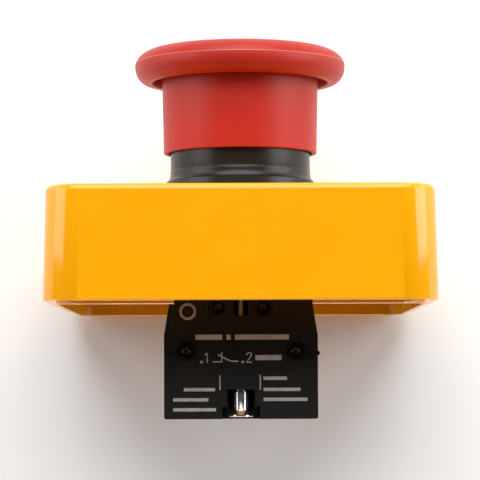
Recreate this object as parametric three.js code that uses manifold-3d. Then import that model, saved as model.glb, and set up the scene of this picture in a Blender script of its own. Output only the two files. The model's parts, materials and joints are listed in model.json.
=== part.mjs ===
// Emergency-stop station head: a mushroom push button on a square station cover,
// with its mounting collar and one normally closed contact block behind the panel.
//
// Every piece is drawn in the button's own frame, in millimetres: the origin is the centre
// of the cover's rim plane, +Z points out of the panel along the button's axis, and the
// contact block lies on the +Y side of the axis. The finished group is turned a quarter
// turn about X, so the station lies on one side wall of its cover with the button facing -Y.

import * as THREE from 'three';
import { mergeVertices } from 'three/addons/utils/BufferGeometryUtils.js';
import Module from 'manifold-3d';

const wasm = await Module();
wasm.setup();

// ---------------------------------------------------------------- driving dimensions, mm

const gap = 0.3;                 // clearance left between two pieces that touch
const slip = 0.15;               // radial clearance of a fixed pin or tube in its hole
const pressTravel = 4;           // how far the button goes in

// station cover, from its rim at height 0
const coverSide = 71;            // outside, across the rim
const coverHeight = 20.8;        // rim to the face of the panel
const coverDraft = 1.2;          // degrees on every outside and inside wall
const coverCorner = 6.5;         // radius of the upright corners
const coverEdge = 1.1;           // radius of the edge around the panel
const coverWall = 2.85;          // side wall at the rim
const panelThick = 2.5;
const tongueWide = 0.55;         // lip along the inside of the rim that presses the box's seal
const tongueTall = 0.7;
const tongueBreak = [-12.8, 11.9]; // stretch along the contact block's side wall without the lip
const ribThick = 1.2;            // of the short ribs inside the side walls
const ribDeep = 1.8;
const ribOffset = 14;            // of each rib from the middle of its wall
const ribFoot = 4;               // height above the rim where ribs start

// cover screws, one in each corner
const screwInset = 7.9;          // from the outside of the cover to a screw's axis
const bossRadius = 4.9;
const bossFoot = 6;              // height above the rim where the bosses start
const coverScrewRadius = 1.9;
const coverScrewHead = 3.5;
const coverScrewHeadTall = 2.2;
const coverScrewSink = 0.4;      // of the head below the panel's face
const coverScrewTip = 2;         // height of the screw's tip above the rim
const screwSealTall = 0.8;

// operator: a tube through the panel, which holds the return spring and guides the stem
const tubeRadius = 11;
const tubeWall = 3;
const tubeFront = 10.5;          // in front of the panel's face
const tubeBehind = 12.4;         // behind the panel's face
const guideTall = 6.6;           // thick lower end that guides the stem
const panelSlip = 0.15;          // radial clearance of the tube in the panel's hole
const keyWide = 3.2;             // anti-turn key in the panel's hole
const keyDeep = 1.6;
const lockGrooveDeep = 1.1;
const lockGrooveUp = 3.6;        // from the tube's lower end
const lockGrooveTall = 2.4;
const lugHalf = 2.2;             // half width of the collar's lugs in that groove

// bezel collar on the panel
const collarWall = 2.1;
const collarTall = 12.2;         // from the panel's face
const collarRoof = 1.4;          // thickness of the inward flange on top
const flareWide = 0.85;          // how far the foot flares out
const flareTall = 1.5;
const flareLand = 2.8;           // straight edge below the flare
const gasketTall = 0.7;
const gasketInset = 0.1;         // of the gasket's edge inside the collar's outer wall

// mushroom
const skirtSlip = 0.35;          // radial clearance of the skirt around the collar
const skirtWall = 0.95;          // at the skirt's lower edge
const skirtTaper = 0.35;         // how much wider the skirt is at its top
const skirtClear = 8.5;          // from the panel's face to the skirt's lower edge
const recessWide = 1.75;         // groove between the skirt and the rim, seen from below
const rimWide = 3.4;             // from that groove to the outside: makes a 40 mm head
const rimDeep = 2.6;             // rounding under the rim's widest part, across
const rimTopDeep = 4.4;          // rounding above it, across
const rimTall = 6.5;             // thickness of the rounded rim
const rimRise = 25.3;            // widest part of the rim, from the panel's face
const recessDrop = 0.4;          // roof of the groove below the widest part
const capRoofDrop = 0.8;         // roof inside the skirt below the widest part
const capDome = 0.25;            // rise of the top from its edge to its middle
const capBossWall = 0.1;         // of the boss outside the return spring

// stem, pusher and latch spring
const stemRadius = 3.5;
const stemTopRadius = 2.6;
const journalRadius = 2;
const pusherRadius = 5;
const pusherTall = 1.8;
const pusherWeb = 0.7;
const pusherSlip = 0.4;
const clipThick = 0.4;           // retaining ring under the pusher
const clipRadius = 3.1;
const latchWire = 0.45;          // radius of the latch spring's wire
const latchUp = 2.4;             // from the tube's lower end
const latchWall = 0.8;           // of the tube outside the latch spring's bow
const latchBite = 0.6;           // depth of the stem's latch groove

// return spring
const coilClear = 2.1;           // between the spring and its bore
const coilWire = 0.5;
const coilTurns = 6.5;

// mounting collar behind the panel
const mountWall = 3.7;           // around the tube, at the middle of each side
const mountCorner = 3;
const mountFloor = 3.6;          // thickness of the plate that carries the contact block
const reliefHalf = 4;            // shallow channels on two sides
const reliefDeep = 1.2;
const clampScrewInset = 3.3;
const clampScrewRadius = 1.65;
const clampScrewHead = 2.6;
const clampScrewHeadTall = 1.9;

// contact block, hung from the mounting collar
const blockWide = 28.8;
const blockDeep = 10;            // across both shells
const blockTall = 25.6;
const shoulderDrop = 10;         // from the block's top to where its sides start to lean in
const shoulderLean = 0.85;       // of each side at the upper pins
const topLean = 1.5;             // of each side at the top
const shellWall = 1.3;
const pinRadius = 1.05;
const pinRecess = 2;
const pinRecessDeep = 1;
const pinSeat = 0.5;             // blind end of a pin's hole from the rear face
const upperPinX = 4.2;
const upperPinDrop = 4.75;
const lowerPinDrop = 13;
const lowerPinWall = 0.45;       // between a lower pin's hole and the terminal beside it
const padWide = 2.1;             // shallow finger pads on the block's two edges
const padDeep = 0.35;
const padLow = 4.9;              // from the block's lower end
const padHigh = 12.3;
const nubRadius = 0.45;
const fixCover = 2.6;            // axis of the fixing screw behind the front face
const fixThread = 1.25;
const fixShank = 1.65;
const fixHead = 2.35;
const notchWide = 7.1;           // around the screw's head, at the lower end
const notchTall = 2.3;
const slotWide = 5.2;            // around its shank, above the notch
const slotTall = 5.5;            // from the block's lower end
const sightWide = 2.7;           // slot at the top of the block that shows the screw
const sightTall = 6.3;

// contacts inside the block
const plungerHalf = 1.2;
const flangeHalf = 3.2;          // flange that keeps the plunger in
const flangeThick = 1;
const flangeDrop = 0.4;          // below the roof of the cavity, at rest
const pressSpare = 0.5;          // left under the pusher when it is fully pressed
const cavityDrop = 7.4;          // from the block's top to the roof of the cavity
const cavityTall = 9;
const bridgeThick = 0.6;
const tipRadius = 1.1;
const tipTall = 0.6;
const sheetThick = 0.8;          // of the folded terminals
const armDrop = 0.9;             // below the roof of the cavity
const clampUp = 9.2;             // top of a terminal's clamp plate from the lower end
const terminalInset = 3.2;       // of a terminal screw from its chamber's outer wall
const terminalScrew = 1.5;
const terminalHead = 2.7;
const terminalHeadTall = 2;
const washerSide = 5.2;
const washerThick = 0.8;
const chamberHalf = 2.8;
const chamberFloor = 1;
const chamberWall = 1.4;
const wireSpace = 3.2;           // between the clamp washer and the terminal
const wireEntry = 3.4;           // width of the wire's way in
const contactSeat = 0.9;         // floor under the contact spring
const contactWire = 0.22;
const contactCoilClear = 0.18;   // between the contact spring and its chamber's wall
const contactTurns = 9;

// how finely round shapes are drawn
const big = 40;
const medium = 24;
const small = 12;
const coilSteps = 11;            // straight pieces in one turn of a spring

// ---------------------------------------------------------------- sizes that follow

const draft = Math.tan(THREE.MathUtils.degToRad(coverDraft));
const panelFace = coverHeight;
const panelBack = panelFace - panelThick;
const panelHole = tubeRadius + panelSlip;
const screwAt = coverSide / 2 - screwInset;
const headSeat = panelFace - coverScrewSink - coverScrewHeadTall;
const boreFloor = headSeat - gap - screwSealTall - gap;

const tubeTop = panelFace + tubeFront;
const tubeBottom = panelFace - tubeBehind;
const springBore = tubeRadius - tubeWall;
const springSeat = tubeBottom + guideTall;
const lockGrooveLow = tubeBottom + lockGrooveUp;
const latchHigh = tubeBottom + latchUp;
const latchReach = stemRadius + gap + latchWire + 0.1;

const collarBore = tubeRadius + gap;
const collarRadius = collarBore + collarWall;
const collarTop = panelFace + collarTall;
const flareRadius = collarRadius + flareWide;
const bezelFoot = panelFace + gap;
const gasketRadius = collarRadius - gasketInset;
const gasketRoof = bezelFoot + gasketTall + gap;

const skirtBore = collarRadius + skirtSlip;
const skirtFoot = skirtBore + skirtWall;
const skirtRadius = skirtFoot + skirtTaper;
const skirtBottom = panelFace + skirtClear;
const lipRadius = skirtRadius + recessWide;
const capRadius = lipRadius + rimWide;
const rimHigh = panelFace + rimRise;
const recessHigh = rimHigh - recessDrop;
const capRoof = rimHigh - capRoofDrop;
const capTop = rimHigh + rimTall / 2 + capDome;
const capBossFoot = collarTop + pressTravel + 1;
const capBossRoof = capRoof - 0.5;
const capBossBore = stemTopRadius + gap;
const coilRadius = springBore - coilClear - coilWire;
const capBoss = coilRadius + coilWire + capBossWall;

const pusherTop = tubeBottom - gap;
const pusherFoot = pusherTop - pusherTall;
const plungerTop = pusherFoot - gap;
const webFoot = pusherTop - pusherWeb;
const clipTop = webFoot - gap;
const clipFoot = clipTop - clipThick;

const mountTop = panelBack - gap;
const plateTop = tubeBottom - gap;
const mountBottom = plateTop - mountFloor;
const mountHalf = collarBore + mountWall;
const clampScrewAt = mountHalf - clampScrewInset;
const pusherHole = pusherRadius + pusherSlip;

const blockTop = mountBottom - gap;
const blockEnd = blockTop - blockTall;
const splitY = pusherRadius + 2 * gap;
const blockNear = splitY - blockDeep / 2;
const blockFace = splitY + blockDeep / 2;
const rearShellFace = splitY - slip;
const frontShellBack = splitY + slip;
const upperPinHigh = blockTop - upperPinDrop;
const fixScrewY = blockFace - fixCover;
const slotTop = blockEnd + slotTall;

const mechNear = blockNear + shellWall;
const plungerNear = mechNear + gap;
const plungerFar = rearShellFace - gap - slip;
const mechMiddle = (plungerNear + plungerFar) / 2;
const contactCoil = mechMiddle - mechNear - contactCoilClear - contactWire;
const chamberOut = blockWide / 2 - chamberWall;
const riserOut = chamberOut - gap;
const riserIn = riserOut - sheetThick;
const lowerPinX = riserIn - lowerPinWall - slip - pinRadius;
const cavityHalf = lowerPinX - lowerPinWall - pinRadius;
const bridgeHalf = cavityHalf - 0.5;
const tipAt = bridgeHalf - tipRadius + 0.1;
const terminalX = chamberOut - terminalInset;
const chamberIn = terminalX - chamberHalf;
const chamberLow = blockEnd + chamberFloor;
const cavityTop = blockTop - cavityDrop;
const cavityLow = cavityTop - cavityTall;
const recessFloor = pusherFoot - pressTravel - pressSpare;
const armHigh = cavityTop - armDrop;
const armLow = armHigh - sheetThick;
const tipFoot = armLow - tipTall;
const bridgeTop = tipFoot - gap - tipTall;
const clampHigh = blockEnd + clampUp;
const clampLow = clampHigh - sheetThick;
const washerTop = clampLow - wireSpace;
const washerFoot = washerTop - washerThick;

// ---------------------------------------------------------------- solids

function solid(geometry) {
  const bare = geometry.index ? geometry.toNonIndexed() : geometry.clone();
  bare.deleteAttribute('normal');
  bare.deleteAttribute('uv');
  const merged = mergeVertices(bare, 1e-4);
  return new wasm.Manifold(new wasm.Mesh({
    numProp: 3,
    vertProperties: new Float32Array(merged.attributes.position.array),
    triVerts: new Uint32Array(merged.index.array),
  }));
}

function geometryOf(shape) {
  const mesh = shape.getMesh();
  const geometry = new THREE.BufferGeometry();
  geometry.setAttribute('position', new THREE.BufferAttribute(mesh.vertProperties, 3));
  geometry.setIndex(new THREE.BufferAttribute(mesh.triVerts, 1));
  geometry.computeVertexNormals();
  return geometry;
}

const join = (first, ...rest) => rest.reduce((all, one) => all.add(one), first);
const cut = (first, ...rest) => rest.reduce((left, one) => left.subtract(one), first);

// a block between two opposite corners
function block(x0, x1, y0, y1, z0, z1) {
  const geometry = new THREE.BoxGeometry(x1 - x0, y1 - y0, z1 - z0);
  geometry.translate((x0 + x1) / 2, (y0 + y1) / 2, (z0 + z1) / 2);
  return solid(geometry);
}

// a round bar along Z
function bar(radius, z0, z1, sides, x = 0, y = 0) {
  const geometry = new THREE.CylinderGeometry(radius, radius, z1 - z0, sides);
  geometry.rotateX(Math.PI / 2);
  geometry.translate(x, y, (z0 + z1) / 2);
  return solid(geometry);
}

// a round bar along Y
function crossBar(radius, y0, y1, sides, x, z) {
  const geometry = new THREE.CylinderGeometry(radius, radius, y1 - y0, sides);
  geometry.translate(x, (y0 + y1) / 2, z);
  return solid(geometry);
}

// a body turned about Z: the outline is [radius, height], anticlockwise, and closes on the
// axis or on itself
function turned(outline, sides, x = 0, y = 0) {
  const first = outline[0];
  const open = first[0] !== 0;
  const points = open ? [...outline, first] : outline;
  const geometry = new THREE.LatheGeometry(points.map(([r, z]) => new THREE.Vector2(r, z)), sides);
  geometry.rotateX(Math.PI / 2);
  geometry.translate(x, y, 0);
  return solid(geometry);
}

// a ring with a rectangular section
function ring(inner, outer, z0, z1, sides, x = 0, y = 0) {
  return turned([[inner, z0], [outer, z0], [outer, z1], [inner, z1]], sides, x, y);
}

// an outline in X and Z carried along Y
function plate(outline, y0, y1) {
  const shape = new THREE.Shape(outline.map(([x, z]) => new THREE.Vector2(x, z)));
  const geometry = new THREE.ExtrudeGeometry(shape, { depth: y1 - y0, bevelEnabled: false });
  geometry.rotateX(Math.PI / 2);
  geometry.translate(0, y1, 0);
  return solid(geometry);
}

// points on an arc, or on a quarter of an ellipse, from one angle to another in degrees
function arc(cx, cz, rx, rz, from, to, steps) {
  const points = [];
  for (let i = 0; i <= steps; i += 1) {
    const angle = THREE.MathUtils.degToRad(from + ((to - from) * i) / steps);
    points.push([cx + rx * Math.cos(angle), cz + rz * Math.sin(angle)]);
  }
  return points;
}

// the outline of a square with rounded corners, anticlockwise in X and Y
function roundedSquare(half, radius, steps) {
  const middle = half - radius;
  const corners = [[middle, middle], [-middle, middle], [-middle, -middle], [middle, -middle]];
  return corners.flatMap(([cx, cy], i) => arc(cx, cy, radius, radius, i * 90, i * 90 + 90, steps));
}

// a body through level outlines with equal numbers of points, the lowest one first
function loft(levels) {
  const count = levels[0].outline.length;
  const at = (level, i) => [...level.outline[i % count], level.z];
  const triangles = [];
  for (let k = 0; k + 1 < levels.length; k += 1) {
    for (let i = 0; i < count; i += 1) {
      const [a, b] = [at(levels[k], i), at(levels[k], i + 1)];
      const [c, d] = [at(levels[k + 1], i + 1), at(levels[k + 1], i)];
      triangles.push(a, b, c, a, c, d);
    }
  }
  const low = levels[0];
  const high = levels[levels.length - 1];
  for (let i = 1; i + 1 < count; i += 1) {
    triangles.push(at(low, 0), at(low, i + 1), at(low, i));
    triangles.push(at(high, 0), at(high, i), at(high, i + 1));
  }
  const geometry = new THREE.BufferGeometry();
  geometry.setAttribute('position', new THREE.Float32BufferAttribute(triangles.flat(), 3));
  return solid(geometry);
}

// a wire of round section along a curve
function wire(curve, radius, sides, steps) {
  const section = new THREE.Shape();
  for (let i = 0; i < sides; i += 1) {
    const angle = (2 * Math.PI * i) / sides;
    const point = [radius * Math.cos(angle), radius * Math.sin(angle)];
    if (i === 0) section.moveTo(...point);
    else section.lineTo(...point);
  }
  section.closePath();
  return solid(new THREE.ExtrudeGeometry(section, { steps, extrudePath: curve, bevelEnabled: false }));
}

// a compression spring's centre line between two seats, with closed end turns
class Coil extends THREE.Curve {
  constructor(radius, wireRadius, low, high, turns, y = 0) {
    super();
    Object.assign(this, { radius, wireRadius, low, high, turns, y });
  }

  getPoint(t, target = new THREE.Vector3()) {
    const closed = 0.12;                       // share of the turns in each closed end
    const start = this.low + this.wireRadius;
    const end = this.high - this.wireRadius;
    const endRise = Math.min(2.1 * this.wireRadius * closed * this.turns, (end - start) / 4);
    const open = (t - closed) / (1 - 2 * closed);
    let z = start + endRise + open * (end - start - 2 * endRise);
    if (t < closed) z = start + (endRise * t) / closed;
    if (t > 1 - closed) z = end - (endRise * (1 - t)) / closed;
    const angle = 2 * Math.PI * this.turns * t;
    return target.set(this.radius * Math.cos(angle), this.y + this.radius * Math.sin(angle), z);
  }
}

// ---------------------------------------------------------------- the group and its finishes

const station = new THREE.Group();

const finishes = {
  yellow: { color: 0xf6a80f, roughness: 0.32, metalness: 0 },
  red: { color: 0xc4321f, roughness: 0.42, metalness: 0 },
  black: { color: 0x25231f, roughness: 0.5, metalness: 0 },
  rubber: { color: 0x1b1b1b, roughness: 0.85, metalness: 0 },
  zinc: { color: 0x9b9c9a, roughness: 0.5, metalness: 0.9 },
  steel: { color: 0xc9cacb, roughness: 0.25, metalness: 1 },
  brass: { color: 0xc7a55a, roughness: 0.35, metalness: 1 },
  acetal: { color: 0xe8e6de, roughness: 0.45, metalness: 0 },
};

function add(name, shape, finish, parent = station) {
  const mesh = new THREE.Mesh(geometryOf(shape), new THREE.MeshStandardMaterial(finishes[finish]));
  mesh.name = name;
  parent.add(mesh);
  return mesh;
}

// a screw along Z with its head at the top, drawn about its own axis with the head's seat at 0
function screw({ radius, length, head, headTall, drive }) {
  const chamfer = radius * 0.35;
  const edge = headTall * 0.25;
  const body = turned([
    [0, -length], [radius - chamfer, -length], [radius, -length + chamfer], [radius, 0],
    [head, 0], [head, headTall - edge], [head - edge, headTall], [0, headTall],
  ], small);
  const deep = headTall * 0.5;
  const long = head * 0.62;
  const half = head * 0.13;
  const slot = block(-long, long, -half, half, headTall - deep, headTall + 1);
  const cross = block(-half, half, -long, long, headTall - deep, headTall + 1);
  return drive === 'cross' ? cut(body, slot, cross) : cut(body, slot);
}

const cornerSigns = [[1, 1], [-1, 1], [-1, -1], [1, -1]];

// ---------------------------------------------------------------- station cover

function stationCover() {
  const outline = (z, inset, radius) => {
    const half = coverSide / 2 - z * draft - inset;
    return { z, outline: roundedSquare(half, radius, 5) };
  };
  const edge = arc(0, 0, coverEdge, coverEdge, 0, 90, 4).map(([x, z]) => {
    const inset = coverEdge - x;
    return outline(panelFace - coverEdge + z, inset, Math.max(coverCorner - inset, 0.5));
  });
  const innerRadius = Math.max(coverCorner - coverWall, 0.8);
  let cover = loft([outline(0, 0, coverCorner), ...edge]);
  const hollow = loft([
    outline(-1, coverWall, innerRadius),
    outline(panelBack, coverWall, innerRadius),
  ]);
  cover = cut(cover, hollow);

  const tongueOut = coverSide / 2 - coverWall + tongueWide;
  const tongue = cut(
    loft([
      { z: -tongueTall, outline: roundedSquare(tongueOut - 0.15, innerRadius + tongueWide, 5) },
      { z: 0.5, outline: roundedSquare(tongueOut, innerRadius + tongueWide, 5) },
    ]),
    hollow,
  );
  const [breakLeft, breakRight] = tongueBreak;
  const breakIn = coverSide / 2 - coverWall - 1;
  const missing = block(breakLeft, breakRight, breakIn, coverSide / 2, -tongueTall - 1, 0);
  cover = join(cover, cut(tongue, missing));

  const wallInside = coverSide / 2 - coverWall;
  for (const side of [-1, 1]) {
    for (const along of [-ribOffset, ribOffset]) {
      const near = wallInside - ribDeep;
      const far = wallInside + 1;
      const [low, high] = side < 0 ? [-far, -near] : [near, far];
      const [from, to] = [along - ribThick / 2, along + ribThick / 2];
      cover = join(cover, block(low, high, from, to, ribFoot, panelBack + 0.5));
      cover = join(cover, block(from, to, low, high, ribFoot, panelBack + 0.5));
    }
  }
  for (const [sx, sy] of cornerSigns) {
    const [x, y] = [sx * screwAt, sy * screwAt];
    cover = join(cover, bar(bossRadius, bossFoot, panelBack + 0.5, medium, x, y));
    const hole = bar(coverScrewRadius + gap, -1, panelFace + 1, small, x, y);
    const seat = bar(coverScrewHead + gap, boreFloor, panelFace + 1, medium, x, y);
    cover = cut(cover, hole, seat);
  }
  const keyway = block(-keyWide / 2, keyWide / 2, 0, panelHole + keyDeep, panelBack - 1, panelFace + 1);
  return cut(cover, bar(panelHole, panelBack - 1, panelFace + 1, big), keyway);
}

add('station_cover', stationCover(), 'yellow');

cornerSigns.forEach(([sx, sy], i) => {
  const spec = {
    radius: coverScrewRadius,
    length: headSeat - coverScrewTip,
    head: coverScrewHead,
    headTall: coverScrewHeadTall,
    drive: 'cross',
  };
  const place = new THREE.Group();
  place.position.set(sx * screwAt, sy * screwAt, headSeat);
  station.add(place);
  add(`cover_screw_${i + 1}`, screw(spec), 'steel', place);
  const inner = coverScrewRadius + gap;
  const seal = ring(inner, coverScrewHead, -gap - screwSealTall, -gap, small);
  add(`cover_screw_seal_${i + 1}`, seal, 'rubber', place);
});

// ---------------------------------------------------------------- operator

function operatorBody() {
  const groove = tubeRadius - lockGrooveDeep;
  const grooveTop = lockGrooveLow + lockGrooveTall;
  const guide = stemRadius + gap;
  const tube = turned([
    [guide, tubeBottom], [tubeRadius, tubeBottom], [tubeRadius, lockGrooveLow],
    [groove, lockGrooveLow], [groove, grooveTop], [tubeRadius, grooveTop],
    [tubeRadius, tubeTop], [springBore, tubeTop], [springBore, springSeat], [guide, springSeat],
  ], big);
  const pocketHalf = latchWire + slip;
  const pocketWide = latchReach + latchWire + gap + 0.1;
  const pocket = block(
    -tubeRadius - 1, tubeRadius - latchWall, -pocketWide, pocketWide,
    latchHigh - pocketHalf, latchHigh + pocketHalf,
  );
  const key = block(
    -keyWide / 2 + gap, keyWide / 2 - gap, springBore + 1, panelHole + keyDeep - gap,
    panelBack + gap, panelFace - gap,
  );
  return join(cut(tube, pocket), key);
}

add('operator_body', operatorBody(), 'zinc');

function bezelCollar() {
  const flareTop = bezelFoot + flareLand + flareTall;
  const flare = arc(flareRadius, flareTop, flareWide, flareTall, 270, 180, 5);
  const roofBore = springBore + 0.9;
  return turned([
    [gasketRadius + gap, bezelFoot], [flareRadius, bezelFoot],
    ...flare,
    [collarRadius, collarTop - 0.4], [collarRadius - 0.4, collarTop],
    [roofBore, collarTop], [roofBore, collarTop - collarRoof],
    [collarBore, collarTop - collarRoof], [collarBore, gasketRoof], [gasketRadius + gap, gasketRoof],
  ], big);
}

add('bezel_collar', bezelCollar(), 'black');
add('panel_gasket', ring(collarBore + gap, gasketRadius, bezelFoot, bezelFoot + gasketTall, big), 'rubber');

const sealFoot = collarTop + gap;
const lipSeal = turned([
  [collarBore, sealFoot], [collarRadius - 0.4, sealFoot], [collarRadius, sealFoot + 1.2],
  [collarRadius - 0.6, sealFoot + 1.2], [collarBore + 0.6, sealFoot + 0.8], [collarBore, sealFoot + 0.8],
], medium);
add('lip_seal', lipSeal, 'rubber');

const coilFoot = springSeat + gap;
const coilTop = capBossFoot - gap;
const returnCoil = new Coil(coilRadius, coilWire, coilFoot, coilTop, coilTurns);
add('return_spring', wire(returnCoil, coilWire, 6, Math.round(coilTurns * coilSteps)), 'steel');

// the latch spring is a hairpin whose legs grip the stem from both sides
function latchClip() {
  const reach = latchReach;
  const bowAt = tubeRadius - latchWall - 2 * gap - latchWire - reach;
  const path = new THREE.CurvePath();
  const point = (x, y) => new THREE.Vector3(x, y, latchHigh);
  const legEnd = -tubeRadius + 2;
  path.add(new THREE.LineCurve3(point(legEnd, -reach), point(bowAt, -reach)));
  const steps = 8;
  for (let i = 0; i < steps; i += 1) {
    const [a, b] = [i, i + 1].map((k) => -Math.PI / 2 + (Math.PI * k) / steps);
    path.add(new THREE.LineCurve3(
      point(bowAt + reach * Math.cos(a), reach * Math.sin(a)),
      point(bowAt + reach * Math.cos(b), reach * Math.sin(b)),
    ));
  }
  path.add(new THREE.LineCurve3(point(bowAt, reach), point(legEnd, reach)));
  return wire(path, latchWire, 6, 24);
}

add('latch_clip', latchClip(), 'steel');

// ---------------------------------------------------------------- mushroom, stem and pusher

function mushroomCap() {
  const topEdge = capRadius - rimTopDeep;
  const rim = [
    ...arc(capRadius - rimDeep, rimHigh, rimDeep, rimTall / 2, -90, 0, 6),
    ...arc(topEdge, rimHigh, rimTopDeep, rimTall / 2, 0, 90, 8).slice(1),
  ];
  const dome = [2 / 3, 1 / 3].map((share) => [topEdge * share, capTop - capDome * share * share]);
  return turned([
    [0, capBossRoof], [capBossBore, capBossRoof], [capBossBore, capBossFoot],
    [capBoss, capBossFoot], [capBoss, capRoof], [skirtBore, capRoof],
    [skirtBore, skirtBottom + 0.3], [skirtBore + 0.2, skirtBottom],
    [skirtFoot - 0.3, skirtBottom], [skirtFoot, skirtBottom + 0.3],
    [skirtRadius, recessHigh - 0.8], [skirtRadius + 0.5, recessHigh], [lipRadius - 0.4, recessHigh],
    [lipRadius, recessHigh - 0.6], [lipRadius, rimHigh - rimTall / 2 + 0.2],
    ...rim, ...dome, [0, capTop],
  ], big);
}

add('mushroom_cap', mushroomCap(), 'red');

// stem: guided by the operator body, with a groove that the latch spring drops into when the
// button is fully pressed
function stem() {
  const foot = pusherFoot + 0.1;
  const grooveLow = latchHigh + pressTravel - latchWire - slip;
  const grooveTop = latchHigh + pressTravel + latchWire + slip;
  const grooveRadius = stemRadius - latchBite;
  const shoulder = capBossFoot - 2 * gap;
  return turned([
    [0, foot], [journalRadius, foot], [journalRadius, clipFoot - 0.1],
    [journalRadius - 0.5, clipFoot - 0.1], [journalRadius - 0.5, clipTop + 0.1],
    [journalRadius, clipTop + 0.1], [journalRadius, tubeBottom],
    [stemRadius, tubeBottom], [stemRadius, grooveLow], [grooveRadius, grooveLow + 0.2],
    [grooveRadius, grooveTop - 0.2], [stemRadius, grooveTop], [stemRadius, shoulder],
    [stemTopRadius, shoulder], [stemTopRadius, capBossRoof - gap], [0, capBossRoof - gap],
  ], medium);
}

add('stem', stem(), 'steel');

add('stem_clip', ring(journalRadius - 0.2, clipRadius, clipFoot, clipTop, small), 'steel');

const pusherShape = turned([
  [clipRadius + gap, pusherFoot], [pusherRadius, pusherFoot], [pusherRadius, pusherTop],
  [journalRadius + gap, pusherTop], [journalRadius + gap, webFoot], [clipRadius + gap, webFoot],
], medium);
add('pusher', pusherShape, 'acetal');

// ---------------------------------------------------------------- mounting collar

function mountingCollar() {
  const outline = (z) => ({ z, outline: roundedSquare(mountHalf, mountCorner, 4) });
  let body = loft([outline(mountBottom), outline(mountTop)]);
  const bore = collarBore;
  body = cut(
    body,
    bar(bore, plateTop, mountTop + 1, big),
    bar(pusherHole, mountBottom - 1, plateTop + 1, medium),
  );
  for (const side of [-1, 1]) {
    const screwHole = bar(clampScrewRadius + gap, mountBottom - 1, mountTop + 1, small,
      side * clampScrewAt, -clampScrewAt);
    const blockHole = bar(fixThread + gap, mountBottom - 1, plateTop + 1, small, 0, side * fixScrewY);
    const relief = block(
      -reliefHalf, reliefHalf, mountHalf - reliefDeep, mountHalf + 1, mountBottom - 1, mountTop + 1,
    );
    body = cut(body, screwHole, blockHole, side > 0 ? relief : relief.rotate([0, 0, 180]));
    const lugTall = lockGrooveTall - 2 * gap;
    const lugLow = lockGrooveLow + gap;
    const lug = block(
      -bore - 1, -tubeRadius + lockGrooveDeep - gap, -lugHalf, lugHalf, lugLow, lugLow + lugTall,
    );
    body = join(body, side > 0 ? lug.rotate([0, 0, 180]) : lug);
  }
  return body;
}

add('mounting_collar', mountingCollar(), 'zinc');

for (const [i, side] of [-1, 1].entries()) {
  const place = new THREE.Group();
  place.position.set(side * clampScrewAt, -clampScrewAt, mountBottom - gap);
  place.rotation.x = Math.PI;
  station.add(place);
  const spec = {
    radius: clampScrewRadius,
    length: mountTop - mountBottom + gap,
    head: clampScrewHead,
    headTall: clampScrewHeadTall,
    drive: 'slot',
  };
  add(`clamp_screw_${i + 1}`, screw(spec), 'steel', place);
}

// ---------------------------------------------------------------- contact block

const pinPlaces = [
  { x: upperPinX, z: upperPinHigh },
  { x: lowerPinX, z: blockTop - lowerPinDrop },
].flatMap(({ x, z }) => [{ x, z }, { x: -x, z }]);

const blockSide = [
  [blockWide / 2 - 0.3, blockEnd], [blockWide / 2, blockEnd + 0.3],
  [blockWide / 2, blockTop - shoulderDrop], [blockWide / 2 - shoulderLean, upperPinHigh],
  [blockWide / 2 - topLean, blockTop],
];
const blockOutline = [...blockSide, ...blockSide.map(([x, z]) => [-x, z]).reverse()];

// the screwdriver holes and wire entries of both terminals, cut from either shell
function terminalSpace(side) {
  const x = side * terminalX;
  const [low, high] = side > 0 ? [chamberIn, chamberOut] : [-chamberOut, -chamberIn];
  const [wallLow, wallHigh] = side > 0 ? [chamberOut - 1, blockWide] : [-blockWide, 1 - chamberOut];
  const entry = wireEntry / 2;
  return join(
    block(low, high, mechNear, blockFace - shellWall, chamberLow, clampHigh + 0.5),
    bar(terminalHead + 0.2, blockEnd - 1, chamberLow + 1, medium, x, splitY),
    block(wallLow, wallHigh, splitY - entry, splitY + entry, washerTop, clampLow),
  );
}

const pinHole = pinRadius + slip;
const headEnd = blockEnd + 0.4;  // the fixing screw's head, just inside the lower end

// room for the fixing screw's head and shank, with the clearance that it needs all round
const fixingSpace = join(
  bar(fixHead + gap, blockEnd - 1, headEnd + 1.5, medium, 0, fixScrewY),
  bar(fixShank + gap, blockEnd, slotTop, medium, 0, fixScrewY),
);

function frontShell() {
  let shell = plate(blockOutline, frontShellBack, blockFace);
  for (const { x, z } of pinPlaces) {
    shell = cut(
      shell,
      crossBar(pinHole, frontShellBack - 1, blockFace + 1, small, x, z),
      crossBar(pinRecess, blockFace - pinRecessDeep, blockFace + 1, medium, x, z),
    );
  }
  const channel = fixThread + 0.25;
  const deep = [frontShellBack - 1, blockFace + 1];
  shell = cut(
    shell,
    block(-notchWide / 2, notchWide / 2, ...deep, blockEnd - 1, blockEnd + notchTall),
    block(-slotWide / 2, slotWide / 2, ...deep, blockEnd, slotTop),
    block(-channel, channel, frontShellBack - 1, fixScrewY + channel + 0.1, slotTop - 1, blockTop + 1),
    block(-sightWide / 2, sightWide / 2, ...deep, blockTop - sightTall, blockTop + 1),
  );
  for (const side of [-1, 1]) {
    const padEdge = blockWide / 2 - padWide;
    const [low, high] = side > 0 ? [padEdge, blockWide] : [-blockWide, -padEdge];
    shell = cut(
      shell,
      terminalSpace(side),
      block(low, high, blockFace - padDeep, blockFace + 1, blockEnd + padLow, blockEnd + padHigh),
    );
  }
  const nub = crossBar(nubRadius, splitY + 1.6, splitY + 3.2, 8, -blockWide / 2, blockEnd + padHigh);
  return join(cut(shell, fixingSpace), nub);
}

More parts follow.
